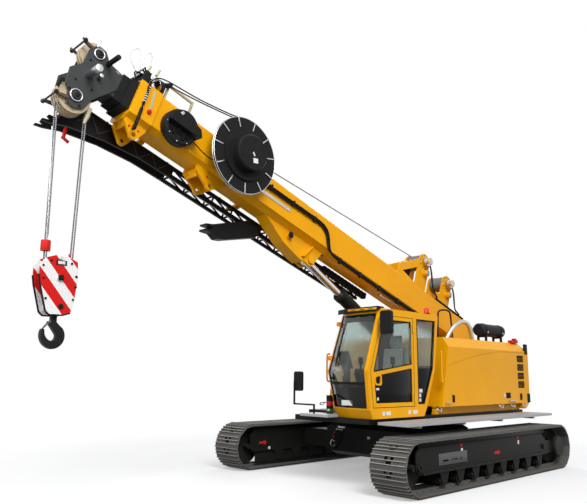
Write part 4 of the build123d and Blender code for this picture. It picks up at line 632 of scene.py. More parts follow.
# Grips and grab bars of the housing: bent silver bar under its skirt and a yellow bar at its front corner.
# A small blank sticker sits beside the lock recess, and the filler cap on top is red enamel.
for side_name, side in (("left", 1.0), ("right", -1.0)):
    for row, grip_x in enumerate((0.62, -1.42, -1.88, -2.34)):
        grip_bends = ((-0.055, 1.17, 1.1), (-0.06, 1.27, 1.1), (-0.045, 1.3, 1.05), (0.045, 1.3, 1.05),
                      (0.06, 1.27, 1.1), (0.055, 1.17, 1.1))
        tube([(grip_x + x, side * y, z) for x, y, z in grip_bends], 0.011,
             "skirt_grip_%s_%d" % (side_name, row),
             "upper", SILVER, sides=2)
    corner_bends = ((0.44, 1.24, 2.0), (0.485, 1.262, 2.0), (0.495, 1.27, 1.95), (0.5, 1.27, 1.53),
                    (0.485, 1.262, 1.48), (0.44, 1.24, 1.48))
    tube([(x, side * y, z) for x, y, z in corner_bends], 0.017, "corner_grab_bar_" + side_name, "upper",
         YELLOW,
         sides=2)
stickers = [plate((0.055, 0.002, 0.07), (-1.64, side * (COVER_Y + 0.001), 1.262),
                  soften=0.0) for side in SIDES]
finish_piece(stickers, "housing_blank_stickers", "upper", WHITE_TAG, smooth=None)
RED_PAINT = enamel("signal_red_enamel", (0.55, 0.012, 0.01), (0.1, 0.05, 0.04), 0.15, 0.3, coat=0.05)
paint_nodes(RED_PAINT, "filler_cap")

# Engine: a cast-iron block between the housings.
# Its casting is matt and oily.
IRON = enamel("cast_engine_iron", (0.03, 0.03, 0.03), (0.02, 0.02, 0.02), 0.4, 0.6)
paint_nodes(IRON, "engine_block")


# Cab shell: folded and pressed steel in chrome yellow outside, lined inside with dark moulded panels.
# The lining shows on every face that looks towards the driver.
def lined_enamel(name, base, lining, centre):
    """The outside finish of a cab part, with a lining on the faces that look towards the cab's middle."""
    finish = base.copy()
    finish.name = name
    tree = finish.node_tree
    shader = tree.nodes["Principled BSDF"]
    spot = add_node(tree, "TexCoord").outputs["Object"]
    inward = add_node(tree, "VectorMath", {0: centre, 1: spot}, operation="SUBTRACT").outputs[0]
    normal = add_node(tree, "NewGeometry").outputs["True Normal"]
    facing = add_node(tree, "VectorMath", {0: normal, 1: inward}, operation="DOT_PRODUCT").outputs["Value"]
    inside = math_node(tree, "GREATER_THAN", facing, 0.03)
    grain = add_node(tree, "TexNoise", {"Vector": spot, "Scale": 60.0}).outputs["Fac"]
    leather = mix_colours(tree, grain, (*lining, 1.0), (lining[0] * 1.6, lining[1] * 1.6, lining[2] * 1.6,
                                                        1.0))
    outside = shader.inputs["Base Color"].links[0].from_socket
    feed(tree, shader, {"Base Color": mix_colours(tree, inside, outside, leather)})
    return finish


CAB_FINISH = lined_enamel("cab_lined_enamel", YELLOW, (0.022, 0.023, 0.024), (1.45, 0.79, 1.85))
paint_nodes(CAB_FINISH, "cab_shell", "cab_door")


# Cab glass: laminated panes bonded into the shell. The low front panes are tinted, and the far panes are
# rough and part-diffuse: a pale veil of painted light.
# Each pane is slightly smeared, so that it doesn't look like an empty hole.
def glass_finish(name, tint, roughness=0.01, clearness=1.0):
    """A pane of clear or tinted glass with faint smears in its tint."""
    finish, tree, shader = new_finish(name)
    spot = add_node(tree, "TexCoord").outputs["Object"]
    smear = add_node(tree, "TexNoise", {"Vector": spot, "Scale": 3.0, "Detail": 4.0}).outputs["Fac"]
    smeared = (tint[0] * 0.85, tint[1] * 0.9, tint[2] * 0.88, 1.0)
    feed(tree, shader, {
        "Transmission Weight": clearness, "IOR": 1.3, "Roughness": roughness,
        "Base Color": mix_colours(tree, smear, (*tint, 1.0), smeared),
    })
    return finish


def merged_copy(name):
    """A copy of a CAD node with its own mesh and its doubled corners merged, left in edit mode."""
    clear_pick()
    obj = placed_copy(nodes[name], Matrix())
    obj.select_set(True)
    bpy.context.view_layer.objects.active = obj
    bpy.ops.object.mode_set(mode="EDIT")
    bpy.ops.mesh.select_all(action="SELECT")
    bpy.ops.mesh.remove_doubles(threshold=0.0001)
    return obj


CLEAR_GLASS = glass_finish("cab_safety_glass", (0.86, 0.93, 0.91))
DARK_GLASS = glass_finish("cab_tinted_glass", (0.10, 0.12, 0.12))
# Painted light: the far panes' pale, part-diffuse veil stands in for the pale light seen on them.
VEILED_GLASS = glass_finish("cab_pale_veil_glass", (0.80, 0.88, 0.87), roughness=0.22, clearness=0.72)
paint_nodes(CLEAR_GLASS, "door_glass")
panes = merged_copy("cab_glass")
bpy.ops.object.mode_set(mode="OBJECT")
panes.data.materials.clear()
for glass in (CLEAR_GLASS, DARK_GLASS, VEILED_GLASS):
    panes.data.materials.append(glass)
for polygon in panes.data.polygons:
    low_front = polygon.center.x > 1.9 and polygon.center.z < 1.478
    corners = [panes.data.vertices[index].co for index in polygon.vertices]
    low_front = low_front and max(corner.z for corner in corners) < 1.48
    far_side = polygon.center.y < 0.36 or polygon.center.x < 0.7
    polygon.material_index = 1 if low_front else 2 if far_side else 0
panes.name = "cab_panes"
panes.data.name = "cab_panes"
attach(panes, "upper")
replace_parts(panes, "cab_glass")

# Black trim of the cab: rubber seals round the windows and glossy panels on the door and the rear quarter.
# The panels are glued into shallow recesses; the seals are pressed on and stand slightly proud.
TRIM_BLACK = enamel("cab_trim_black", (0.008, 0.008, 0.009), (0.04, 0.04, 0.04), 0.1, 0.16,
                    edge_wear=0.0)


def side_panel(points, y0, y1, soften=0.0015):
    """A flat panel whose outline is a list of X and Z points, from y0 out to y1, with softened edges."""
    obj = outline_face([(x, y0, z) for x, z in points])
    close_outline((0.0, y1 - y0, 0.0))
    return soften_edges(obj, soften)


def seal_ring(points, width, y0, y1):
    """A rubber seal round a window: the window's outline, inset by the seal's width and raised."""
    obj = outline_face([(x, y0, z) for x, z in points])
    bpy.ops.mesh.inset(thickness=width, depth=0.0, use_boundary=True)
    bpy.ops.mesh.delete(type="ONLY_FACE")
    bpy.ops.mesh.select_all(action="SELECT")
    close_outline((0.0, y1 - y0, 0.0))
    return obj


door_panel = side_panel(((2.19, 1.207), (2.232, 1.586), (1.312, 1.711), (1.312, 1.207)), 1.2402, 1.2435)
finish_piece([door_panel], "door_lower_panel", "door", TRIM_BLACK)
DOOR_WINDOW = ((2.236, 1.648), (2.25, 1.668), (1.992, 2.425), (1.307, 2.425), (1.307, 1.772))
finish_piece([seal_ring(DOOR_WINDOW, 0.016, 1.2495, 1.2525)], "door_window_seal", "door", BLACK_RUBBER,
             smooth=None)
quarter_panel = side_panel(((1.148, 1.172), (1.148, 1.72), (0.732, 1.72), (0.98, 1.172)), 1.236, 1.2405)
finish_piece([quarter_panel], "rear_quarter_panel", "upper", TRIM_BLACK)
QUARTER_WINDOW = ((1.15, 1.17), (1.15, 2.485), (0.625, 2.485), (0.73, 1.715), (0.985, 1.17))
DOOR_OUTLINE = ((2.267, 1.138), (2.324, 1.655), (2.037, 2.487), (1.243, 2.487), (1.243, 1.138))
window_seals = [seal_ring(QUARTER_WINDOW, 0.02, 1.2495, 1.2525),
                seal_ring(DOOR_OUTLINE, 0.006, 1.2485, 1.2508)]
finish_piece(window_seals, "cab_window_seals", "upper", BLACK_RUBBER, smooth=None)


# Windscreen edge bands, wiper and side lamps: black bands behind the glass, a wiper arm and amber lamps.
# The screen curves back towards the boom, so each band follows the same few upright stations.
def front_x(y, z):
    """X of the cab's front face at a place across it and a height."""
    share_rows = ((0.33, 1.0), (0.52, 0.45), (0.80, 0.12), (1.25, 0.0))
    for (y0, share0), (y1, share1) in zip(share_rows, share_rows[1:]):
        if y <= y1:
            share = share0 + (share1 - share0) * (y - y0) / (y1 - y0)
            break
    edge_rows = ((0.985, 2.28, 0.25), (1.11, 2.34, 0.27), (1.66, 2.395, 0.17), (2.545, 2.075, 0.21))
    for (z0, x0, back0), (z1, x1, back1) in zip(edge_rows, edge_rows[1:]):
        if z <= z1:
            mix = (z - z0) / (z1 - z0)
            return x0 + (x1 - x0) * mix - share * (back0 + (back1 - back0) * mix)


def front_band(low_z, high_z, y_places, depth, thickness):
    """A band across the curved screen between two heights, its face depth inside the cab's front."""
    clear_pick()
    bpy.ops.mesh.primitive_grid_add(x_subdivisions=len(y_places) - 1, y_subdivisions=1, size=1.0)
    obj = bpy.context.object
    columns = sorted({round(vertex.co.x, 4) for vertex in obj.data.vertices})
    for vertex in obj.data.vertices:
        y = y_places[columns.index(round(vertex.co.x, 4))]
        z = low_z if vertex.co.y < 0.0 else high_z
        vertex.co = (front_x(y, z) - depth, y, z)
    solid = obj.modifiers.new("wall", "SOLIDIFY")
    solid.thickness = thickness
    bpy.ops.object.modifier_apply(modifier="wall")
    return obj


SCREEN_Y = (0.375, 0.52, 0.66, 0.80, 1.0, 1.185)
bands = [
    front_band(2.40, 2.512, SCREEN_Y, 0.03, 0.004),
    front_band(1.465, 1.50, SCREEN_Y, 0.006, 0.006),
    front_band(1.14, 1.20, SCREEN_Y, 0.03, 0.004),
    front_band(1.51, 1.66, (0.375, 0.42), 0.03, 0.004),
    front_band(1.66, 2.40, (0.375, 0.42), 0.03, 0.004),
]
finish_piece(bands, "screen_edge_bands", "upper", BLACK_RUBBER, smooth=None)
pivot_x = front_x(0.50, 1.55)
wiper_parts = [
    bar((pivot_x + 0.012, 0.50, 1.55), (front_x(0.55, 2.05) + 0.02, 0.55, 2.05), 0.009, tip=0.006),
    plate((0.02, 0.014, 0.62), (front_x(0.56, 2.02) + 0.004, 0.56, 2.02), turn=pitched(-19.5)),
    bar((pivot_x - 0.02, 0.50, 1.55), (pivot_x + 0.02, 0.50, 1.55), 0.02, soften=0.004),
]
finish_piece(wiper_parts, "screen_wiper", "upper", BLACK_RUBBER)
AMBER = enamel("amber_lamp_lens", (0.85, 0.24, 0.01), (0.5, 0.2, 0.05), 0.1, 0.15,
               edge_wear=0.0, coat=0.6)
side_lamps = [plate((0.05, 0.06, 0.075), (front_x(0.34, z) + 0.005, 0.305, z), soften=0.014) for z in (2.40,
                                                                                                       1.86)]
finish_piece(side_lamps, "side_marker_lamps", "upper", AMBER)


# Blank stickers of the cab: all of them are bare white foil.
# They stick on the black panels, on the base band and low in the windscreen.
def sticker(low_x, high_x, low_z, high_z, y):
    """A blank sticker on a panel that faces left, between two X and two Z."""
    middle = ((low_x + high_x) / 2, y, (low_z + high_z) / 2)
    return plate((high_x - low_x, 0.001, high_z - low_z), middle, soften=0.0)


stickers = [sticker(*row, 1.2411) for row in (
    (1.02, 1.135, 1.345, 1.40), (1.06, 1.135, 1.275, 1.33), (1.06, 1.135, 1.205, 1.255),
)]
stickers += [sticker(low_x, high_x, 1.03, 1.085, 1.2508) for low_x, high_x in (
    (1.86, 1.97), (2.0, 2.06), (1.18, 1.30), (1.36, 1.42),
)]
screen_turn = (0.0, 0.0, math.radians(5.0))
stickers.append(plate((0.002, 0.2, 0.075), (front_x(0.8, 1.2) - 0.005, 0.8, 1.2), turn=screen_turn,
                      soften=0.0))
finish_piece(stickers, "cab_blank_stickers", "upper", WHITE_TAG, smooth=None)
door_stickers = [sticker(2.12, 2.19, 1.39, 1.42, 1.2441), sticker(2.13, 2.17, 1.245, 1.285, 1.2441)]
finish_piece(door_stickers, "door_blank_stickers", "door", WHITE_TAG, smooth=None)

# Visor, mirrors, consoles and the lamp column: black moulded plastic, with coloured lenses on the column.
# The mirrors have bright glass, and the console's monitor has a glossy black face.
PLASTIC = enamel("moulded_black_plastic", (0.013, 0.013, 0.014), (0.06, 0.06, 0.06), 0.15, 0.42,
                 edge_wear=0.0, peel=0.4)
paint_nodes(PLASTIC, "roof_visor", "mirrors", "lamp_column", "cab_console")
MIRROR_GLASS = enamel("mirror_glass", (0.5, 0.52, 0.54), (0.4, 0.4, 0.4), 0.1, 0.06,
                      metallic=1.0, peel=0.0, edge_wear=0.0)
mirror_faces = [
    plate((0.003, 0.17, 0.29), (2.1436, 1.44, 2.36), soften=0.001),
    plate((0.003, 0.155, 0.26), (2.3986, -0.1125, 1.5), soften=0.001),
]
finish_piece(mirror_faces, "mirror_glasses", "upper", MIRROR_GLASS)
GREEN_LENS = enamel("green_lamp_lens", (0.01, 0.2, 0.07), (0.1, 0.1, 0.08), 0.1, 0.18,
                    edge_wear=0.0, coat=0.5)
for lens_name, size, place, soften, finish in (
    ("column_red_lens", (0.079, 0.079, 0.075), (2.1125, 0.2725, 1.165), 0.008, RED_MARK),
    ("column_green_lens", (0.079, 0.079, 0.06), (2.1125, 0.2725, 1.06), 0.008, GREEN_LENS),
    ("column_white_lens", (0.03, 0.03, 0.03), (2.16, 0.2925, 1.07), 0.006, WHITE_TAG),
):
    finish_piece([plate(size, place, soften=soften)], lens_name, "upper", finish)
monitor_face = plate((0.004, 0.14, 0.2), (1.985, 0.47, 1.835), turn=pitched(-24.0), soften=0.001)
finish_piece([monitor_face], "monitor_screen", "upper", TRIM_BLACK)

# Beacon: an orange-red moulded lens with upright ribs.
# It stands on a black foot on the cab's roof.
LENS = enamel("beacon_lens", (0.75, 0.045, 0.008), (0.3, 0.1, 0.05), 0.1, 0.12, edge_wear=0.0,
              coat=0.7)
paint_nodes(LENS, "beacon")
beacon_foot = bar((0.69, 1.14, 2.588), (0.69, 1.14, 2.618), 0.056, sides=24, soften=0.003)
finish_piece([beacon_foot], "beacon_foot", "upper", PLASTIC)
ribs = []
for turn in even_turns(12):
    across, along = math.cos(turn), math.sin(turn)
    ribs.append(bar((0.69 + 0.044 * across, 1.14 + 0.044 * along, 2.62),
                    (0.69 + 0.042 * across, 1.14 + 0.042 * along, 2.69), 0.003, sides=6))
finish_piece(ribs, "beacon_ribs", "upper", LENS)

# Operator's seat: sewn fabric cushions with piping along their seams, on a base with a folded rubber bellows.
# The pads are stuffed, and sewn channels run along the cushion and the back.
SEAT_FABRIC, fabric_tree, fabric_shader = new_finish("woven_seat_fabric")
fabric_spot = add_node(fabric_tree, "TexCoord").outputs["Object"]
warp, weft = [
    add_node(fabric_tree, "TexWave", {"Vector": fabric_spot, "Scale": 90.0}, bands_direction=way)
    for way in ("Y", "DIAGONAL")
]
weave = math_node(fabric_tree, "MULTIPLY", warp.outputs["Fac"], weft.outputs["Fac"])
blotch = add_node(fabric_tree, "TexNoise", {"Vector": fabric_spot, "Scale": 9.0}).outputs["Fac"]
weave_tone = mix_colours(fabric_tree, weave, (0.30, 0.30, 0.29, 1.0), (0.50, 0.50, 0.48, 1.0))
weave_bump = add_node(fabric_tree, "Bump", {"Distance": 0.002, "Strength": 0.5,
                                            "Height": weave}).outputs["Normal"]
feed(fabric_tree, fabric_shader, {
    "Roughness": 0.88, "Sheen Weight": 0.25, "Specular IOR Level": 0.2, "Normal": weave_bump,
    "Base Color": mix_colours(fabric_tree, 0.5, weave_tone, blotch, blend="MULTIPLY"),
})
SEAT_MIDDLE = 0.795
CLOTH_STEPS = 20
CHANNEL_HALF_WIDTH = 0.014
CHANNEL_DEPTH = 0.009


def stuffed_pad(name, outline, half_width, swell, channels):
    """A sewn pad: its X and Z outline made across the seat, remeshed, swelled as cloth and given channels."""
    pad = side_panel(outline, SEAT_MIDDLE - half_width, SEAT_MIDDLE + half_width, soften=0.03)
    remesh = pad.modifiers.new("cloth_grid", "REMESH")
    remesh.mode = "VOXEL"
    remesh.voxel_size = 0.012
    bpy.ops.object.modifier_apply(modifier="cloth_grid")
    start_places = [vertex.co.copy() for vertex in pad.data.vertices]
    stuffing = pad.modifiers.new("stuffing", "CLOTH")
    stuffing.settings.use_pressure = True
    stuffing.settings.uniform_pressure_force = 4.0
    stuffing.settings.effector_weights.gravity = 0.0
    stuffing.point_cache.frame_start = 1
    stuffing.point_cache.frame_end = CLOTH_STEPS
    for step in range(1, CLOTH_STEPS + 1):
        bpy.context.scene.frame_set(step)
    bpy.ops.object.modifier_apply(modifier="stuffing")
    bpy.context.scene.frame_set(1)
    for vertex, start_place in zip(pad.data.vertices, start_places):
        move = vertex.co - start_place
        if move.length > swell:
            vertex.co = start_place + move.normalized() * swell
        for channel_y in channels:
            near = max(0.0, 1.0 - abs(vertex.co.y - SEAT_MIDDLE - channel_y) / CHANNEL_HALF_WIDTH)
            vertex.co -= vertex.normal * CHANNEL_DEPTH * near * near
    softness = pad.modifiers.new("softness", "SUBSURF")
    softness.levels = 1
    softness.render_levels = 1
    bpy.ops.object.modifier_apply(modifier="softness")
    finish_piece([pad], name, "upper", SEAT_FABRIC, smooth=80.0)
    return pad


CUSHION = ((1.145, 1.375), (1.635, 1.375), (1.655, 1.495), (1.145, 1.475))
BACK_REST = ((1.125, 1.50), (1.245, 1.50), (1.145, 2.045), (1.045, 2.03))
HEAD_REST = ((1.045, 2.06), (1.125, 2.065), (1.10, 2.245), (1.035, 2.24))
seat_pads = [
    stuffed_pad("seat_cushion", CUSHION, 0.232, 0.012, (-0.13, 0.13)),
    stuffed_pad("seat_back_cushion", BACK_REST, 0.222, 0.012, (-0.12, 0.12)),
    stuffed_pad("seat_head_cushion", HEAD_REST, 0.118, 0.010, ()),
]
for name, (start, end), half_width in (("cushion", CUSHION[2:], 0.236), ("back", BACK_REST[1:3], 0.226)):
    for side_name, side in (("left", 1.0), ("right", -1.0)):
        y = SEAT_MIDDLE + side * half_width
        run = ((start[0] - 0.02, y, start[1]), (start[0] - 0.05, y, start[1] + 0.004),
               (end[0] + 0.05, y, end[1] - 0.002), (end[0] + 0.02, y, end[1] - 0.01))
        tube(run, 0.006, "seat_%s_piping_%s" % (name, side_name), "upper", BLACK_RUBBER, sides=2)
base_parts = [
    plate((0.40, 0.36, 0.03), (1.38, SEAT_MIDDLE, 1.127), soften=0.008),
    plate((0.44, 0.40, 0.02), (1.38, SEAT_MIDDLE, 1.362), soften=0.005),
]
for fold in range(6):
    width = 0.33 if fold % 2 else 0.37
    base_parts.append(plate((width, width - 0.03, 0.036), (1.38, SEAT_MIDDLE, 1.155 + fold * 0.034),
                            soften=0.012))
for side in SIDES:
    arm_y, post_y = SEAT_MIDDLE + side * 0.252, SEAT_MIDDLE + side * 0.06
    base_parts.append(plate((0.32, 0.055, 0.035), (1.34, arm_y, 1.655), soften=0.014))
    base_parts.append(plate((0.03, 0.02, 0.2), (1.21, arm_y, 1.57), soften=0.005))
    base_parts.append(bar((1.075, post_y, 2.03), (1.075, post_y, 2.09), 0.008))
seat_base = finish_piece(base_parts, "seat_suspension_base", "upper", BLACK_RUBBER)
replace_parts(seat_base, "operator_seat")
for pad in seat_pads:
    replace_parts(pad, "operator_seat")


# Fittings on the carbody: rotary feed hoses, zinc-plated couplings, blank plates and small red caps.
# The hoses and couplings sit at its front and rear, the plates and caps at its front.
def torus(place, reach, wire, sides, wire_sides, turn=(math.radians(90.0), 0.0, 0.0)):
    """A ring of round wire about a place; as it stands its axis runs across the machine."""
    clear_pick()
    bpy.ops.mesh.primitive_torus_add(major_segments=sides, minor_segments=wire_sides, major_radius=reach,
                                     minor_radius=wire, location=place, rotation=turn)
    return bpy.context.object


FITTINGS_Y = (-0.50, -0.56, -0.62)
couplings = []
for side in SIDES:
    couplings.append(torus((side * 0.936, -side * 0.73, 0.42), 0.05, 0.012, 32, 10, turn=pitched(90.0)))
    for y in FITTINGS_Y:
        couplings.append(bar((side * 0.93, side * y, 0.66), (side * 0.965, side * y, 0.66), 0.017, sides=6,
                             soften=0.003))
finish_piece(couplings, "carbody_couplings", "undercarriage", SILVER, smooth=40.0)
for end_name, side in (("front", 1.0), ("rear", -1.0)):
    for row, y in enumerate(FITTINGS_Y):
        hose = ((0.955, y, 0.66), (0.985, y, 0.64), (0.98, y - 0.04, 0.50), (0.975, y - 0.12, 0.38),
                (0.97, y - 0.22, 0.33))
        tube([(side * x, side * hose_y, z) for x, hose_y, z in hose], 0.012,
             "carbody_hose_%s_%d" % (end_name, row),
             "undercarriage", BLACK_RUBBER, sides=2)
carbody_plates = [
    plate((0.004, 0.06, 0.04), (0.932, 0.08, 0.565), soften=0.001),
    plate((0.012, 0.16, 0.028), (0.936, -0.525, 0.705), soften=0.004),
]
finish_piece(carbody_plates, "carbody_blank_plates", "undercarriage", WHITE_TAG)
red_caps = [
    plate((0.02, 0.05, 0.028), (0.94, -0.66, 0.60), soften=0.004),
    plate((0.02, 0.04, 0.028), (0.94, -0.70, 0.53), soften=0.004),
]
finish_piece(red_caps, "carbody_red_caps", "undercarriage", RED_MARK)

# Yellow lip of the visor: a strip along its front edge.
# Three thin black slots lie along it.
finish_piece([plate((0.006, 0.56, 0.03), (2.133, 0.95, 2.578), soften=0.002)], "visor_yellow_lip", "upper",
             YELLOW)
lip_slots = [plate((0.003, 0.09, 0.01), (2.137, y, 2.578), soften=0.001) for y in (0.78, 0.95, 1.12)]
finish_piece(lip_slots, "visor_lip_slots", "upper", BLACK_RUBBER)

# Boom base: a welded box of high-strength plate with a pressed keel, doublers and lugs, in chrome yellow.
# The pieces on it are placed along the boom, across it and above its foot line, then raised with it.
BOOM_PLACE = Matrix.Translation((-2.15, 0.0, 2.2)) @ Matrix.Rotation(math.radians(-18.5), 4, "Y")
body_places.update(boom=BOOM_PLACE, reel=BOOM_PLACE, tele_3=BOOM_PLACE)
paint_nodes(YELLOW, "boom_base", "cylinder_bracket", "winches")
finish_piece([plate((1.03, 0.075, 0.03), (0.805, 0.185, 0.497), soften=0.006)], "boom_grip_strip", "boom",
             BLACK_RUBBER)
LUG_BOLTS = ((8.25, -0.14), (8.30, -0.165), (8.16, -0.16), (7.0, -0.14))
flat_bars, pin_caps, lug_bolts = [], [], [cross_bar(8.16, 0.12, 0.245, 0.285, 0.03, sides=20, soften=0.008)]
for side in SIDES:
    flat_bars.append(plate((0.63, 0.010, 0.05), (5.78, side * 0.2475, 0.158)))
    for s in (5.52, 6.04):
        flat_bars.append(cross_bar(s, 0.158, side * 0.25, side * 0.262, 0.014, sides=6, soften=0.002))
    pin_caps.append(cross_bar(5.27, -0.15, side * 0.166, side * 0.184, 0.052, sides=28, soften=0.005))
    for s, t in LUG_BOLTS:
        lug_bolts.append(cross_bar(s, t, side * 0.16, side * 0.174, 0.016, sides=6, soften=0.002))
finish_piece(flat_bars, "boom_flat_bars", "boom", SILVER)
finish_piece(pin_caps, "rod_pin_caps", "boom", BLACK_RUBBER)
cross_plates = [
    plate((0.03, 0.248, 0.13), (7.155, 0.0, -0.145), turn=pitched(12.0), soften=0.006),
    plate((0.03, 0.248, 0.09), (8.335, 0.0, -0.125), turn=pitched(14.0), soften=0.006),
]
finish_piece(cross_plates, "lug_cross_plates", "boom", YELLOW)
finish_piece(lug_bolts, "red_lug_bolts", "boom", RED_MARK)

# Hydraulic hoses along the boom: two rubber hoses in clips, over the doubler and along the keel's edge.
# A chain of hose links hangs under the boom, and a limit switch's rod lies across from it.
for row, lift in enumerate((0.0, 0.036)):
    tube(((6.45, 0.262, 0.262 + lift), (5.9, 0.262, 0.264 + lift), (5.1, 0.262, 0.28 + lift),
          (4.74, 0.262, 0.285 + lift), (4.62 - lift, 0.262, 0.2 + lift), (4.52 - lift, 0.262, 0.0),
          (4.47 - lift, 0.256, -0.04), (4.3, 0.235, -0.045 - lift), (3.6, 0.222, -0.045 - lift),
          (2.6, 0.222, -0.045 - lift), (1.9, 0.222, -0.045 - lift), (1.6, 0.2, -0.04)),
         0.017, "boom_side_hose_%d" % row, "boom", BLACK_RUBBER, sides=3)
clips = [plate((0.04, 0.055, 0.095), (s, 0.218, -0.062), soften=0.006) for s in (1.95, 2.5, 3.05, 3.6, 4.15)]
clips += [plate((0.035, 0.045, 0.095), (s, 0.256, 0.296), soften=0.006) for s in (4.95, 5.45, 5.95)]
finish_piece(clips, "boom_hose_clips", "boom", BLACK_COAT)
links = [plate((0.082, 0.10, 0.11), (2.98 + n * 0.092, -0.185, -0.135), soften=0.014) for n in range(13)]
finish_piece(links, "hose_chain_under_boom", "boom", BLACK_RUBBER)
switch_rod = [
    bar((2.9, 0.17, -0.14), (2.33, 0.17, -0.1), 0.014, soften=0.003),
    bar((2.95, 0.17, -0.143), (2.9, 0.17, -0.14), 0.026, soften=0.005),
]
finish_piece(switch_rod, "limit_switch_rod", "boom", SILVER)

# Hoist winches: planetary drums between yellow cheeks, with silver hydraulic motors and black hoses.
# Each drum shows its outer row of wire rope. The hoist rope leaves the front drum's top and runs to the head.
ROPE = enamel("wire_rope_steel", (0.24, 0.24, 0.25), (0.12, 0.115, 0.105), 0.4, 0.42,
              metallic=0.6, peel=0.9)
DRUMS = ((1.83, 1.06), (0.99, 0.97))
ROPE_TURNS = 14
ROPE_PITCH = 0.0211
coils, motor_parts, rim_bolts = [], [], []
for s, t in DRUMS:
    first_coil = torus((s, -0.137, t), 0.140, 0.0105, 40, 6)
    coils.append(first_coil)
    for n in range(1, ROPE_TURNS):
        coil = placed_copy(first_coil, Matrix())
        coil.location.y += n * ROPE_PITCH
        coils.append(coil)
    motor_parts.append(cross_bar(s, t, 0.176, 0.25, 0.088, sides=32, soften=0.006))
    motor_parts.append(cross_bar(s, t, 0.25, 0.33, 0.074, sides=32, soften=0.012, tip=0.066))
    motor_parts.append(plate((0.07, 0.06, 0.17), (s, 0.29, t - 0.03), soften=0.01))
    motor_parts.extend(bolt_circle(even_turns(8), 0.074, (s, t), 0.245, 0.262, 0.009, sides=6))
    motor_parts.append(cross_bar(s - 0.04, t - 0.23, 0.255, 0.285, 0.05, sides=24, soften=0.006))
    for side in SIDES:
        rim_bolts.extend(bolt_circle(even_turns(10), 0.135, (s, t), side * 0.174, side * 0.183, 0.011,
                                     sides=6))
finish_piece(coils, "drum_rope_layers", "boom", ROPE, smooth=60.0)
finish_piece(motor_parts, "winch_motors", "boom", SILVER)
finish_piece(rim_bolts, "winch_cheek_bolts", "boom", BLACK_COAT)
tube(((1.78, -0.125, 1.208), (1.90, -0.125, 1.198), (5.66, -0.125, 0.82), (8.25, -0.125, 0.555),
      (8.60, -0.08, 0.56), (8.98, -0.035, 0.608)), 0.0095, "hoist_rope", "boom", ROPE, sides=3)
rope_guide = [
    cross_bar(8.27, 0.528, -0.155, -0.10, 0.018, sides=20, soften=0.003),
    plate((0.05, 0.008, 0.05), (8.27, -0.160, 0.515)),
]
finish_piece(rope_guide, "rope_guide_roller", "boom", SILVER)
for row, (s, t, drop) in enumerate(((1.83, 0.98, 0.0), (1.80, 0.96, 0.04), (0.99, 0.89, 0.0),
                                    (0.96, 0.87, 0.04))):
    tube(((s, 0.31, t), (s - 0.04, 0.34, t - 0.12), (s - 0.16, 0.31, t - 0.31 - drop),
          (s - 0.34, 0.24, t - 0.36),
          (s - 0.55, 0.19, 0.56), (s - 0.62, 0.15, 0.50)), 0.012, "winch_hose_%d" % row, "boom", BLACK_RUBBER,
         sides=3)
brace_box = side_panel(((2.02, 0.86), (2.40, 0.62), (2.02, 0.55)), -0.02, 0.02, soften=0.004)
finish_piece([brace_box], "winch_brace_box", "boom", BLACK_COAT)

# Cable reel: a spring drum under black powder coat, with thin zinc-plated rim hoops and eleven spring clips.
# The length cable lies in turns between its flanges; two cables run from its top to the boom's front.
paint_nodes(BLACK_COAT, "cable_reel", "sensor_drum")
REEL = (6.7, 0.33)
hoops = [torus((REEL[0], y, REEL[1]), 0.557, 0.0055, 96, 8) for y in (0.434, 0.470)]
for turn in even_turns(11, math.radians(10.0)):
    clip_place = (REEL[0] + 0.485 * math.cos(turn), 0.484, REEL[1] - 0.485 * math.sin(turn))
    hoops.append(plate((0.15, 0.006, 0.017), clip_place, turn=(0.0, turn, 0.0), soften=0.002))
finish_piece(hoops, "reel_hoops_and_clips", "reel", SILVER)
CABLE_TURNS = (0.35, 0.375, 0.40, 0.425, 0.45)
cable_turns = [torus((REEL[0], 0.452, REEL[1]), reach, 0.0125, 64, 6) for reach in CABLE_TURNS]
finish_piece(cable_turns, "reel_cable_turns", "reel", BLACK_RUBBER)
reel_labels = [
    plate((0.085, 0.002, 0.07), (6.625, 0.651, 0.235), turn=pitched(25.0), soften=0.0),
    plate((0.06, 0.002, 0.022), (6.685, 0.651, 0.31), turn=pitched(-40.0), soften=0.0),
]
finish_piece(reel_labels, "reel_blank_labels", "reel", WHITE_TAG)
cap_screws = bolt_circle(even_turns(6, 0.3), 0.19, REEL, 0.648, 0.656, 0.012, sides=10, soften=0.002)
finish_piece(cap_screws, "reel_cap_screws", "reel", BLACK_RUBBER)
for cable_name, radius, points in (
    ("length_cable_upper", 0.009, (
        (6.86, 0.452, 0.865), (7.0, 0.44, 0.80), (7.255, 0.4, 0.755), (7.587, 0.33, 0.718),
                                   (7.895, 0.27, 0.712),
        (8.105, 0.2, 0.728), (8.21, 0.15, 0.70), (8.23, 0.11, 0.62), (8.28, 0.1, 0.6),
    )),
    ("length_cable_lower", 0.009, (
        (6.84, 0.452, 0.84), (7.0, 0.44, 0.765), (7.311, 0.4, 0.71), (7.61, 0.33, 0.68), (7.906, 0.27, 0.66),
        (8.113, 0.2, 0.67), (8.19, 0.16, 0.65), (8.23, 0.13, 0.59), (8.28, 0.12, 0.56),
    )),
    ("sensor_cable", 0.008, ((7.58, 0.35, 0.075), (7.42, 0.34, 0.08), (7.3, 0.32, 0.055), (7.1, 0.29, 0.05),
                             (6.9, 0.27, 0.15), (6.75, 0.26, 0.22))),
):
    tube(points, radius, cable_name, "boom", BLACK_RUBBER, sides=2)

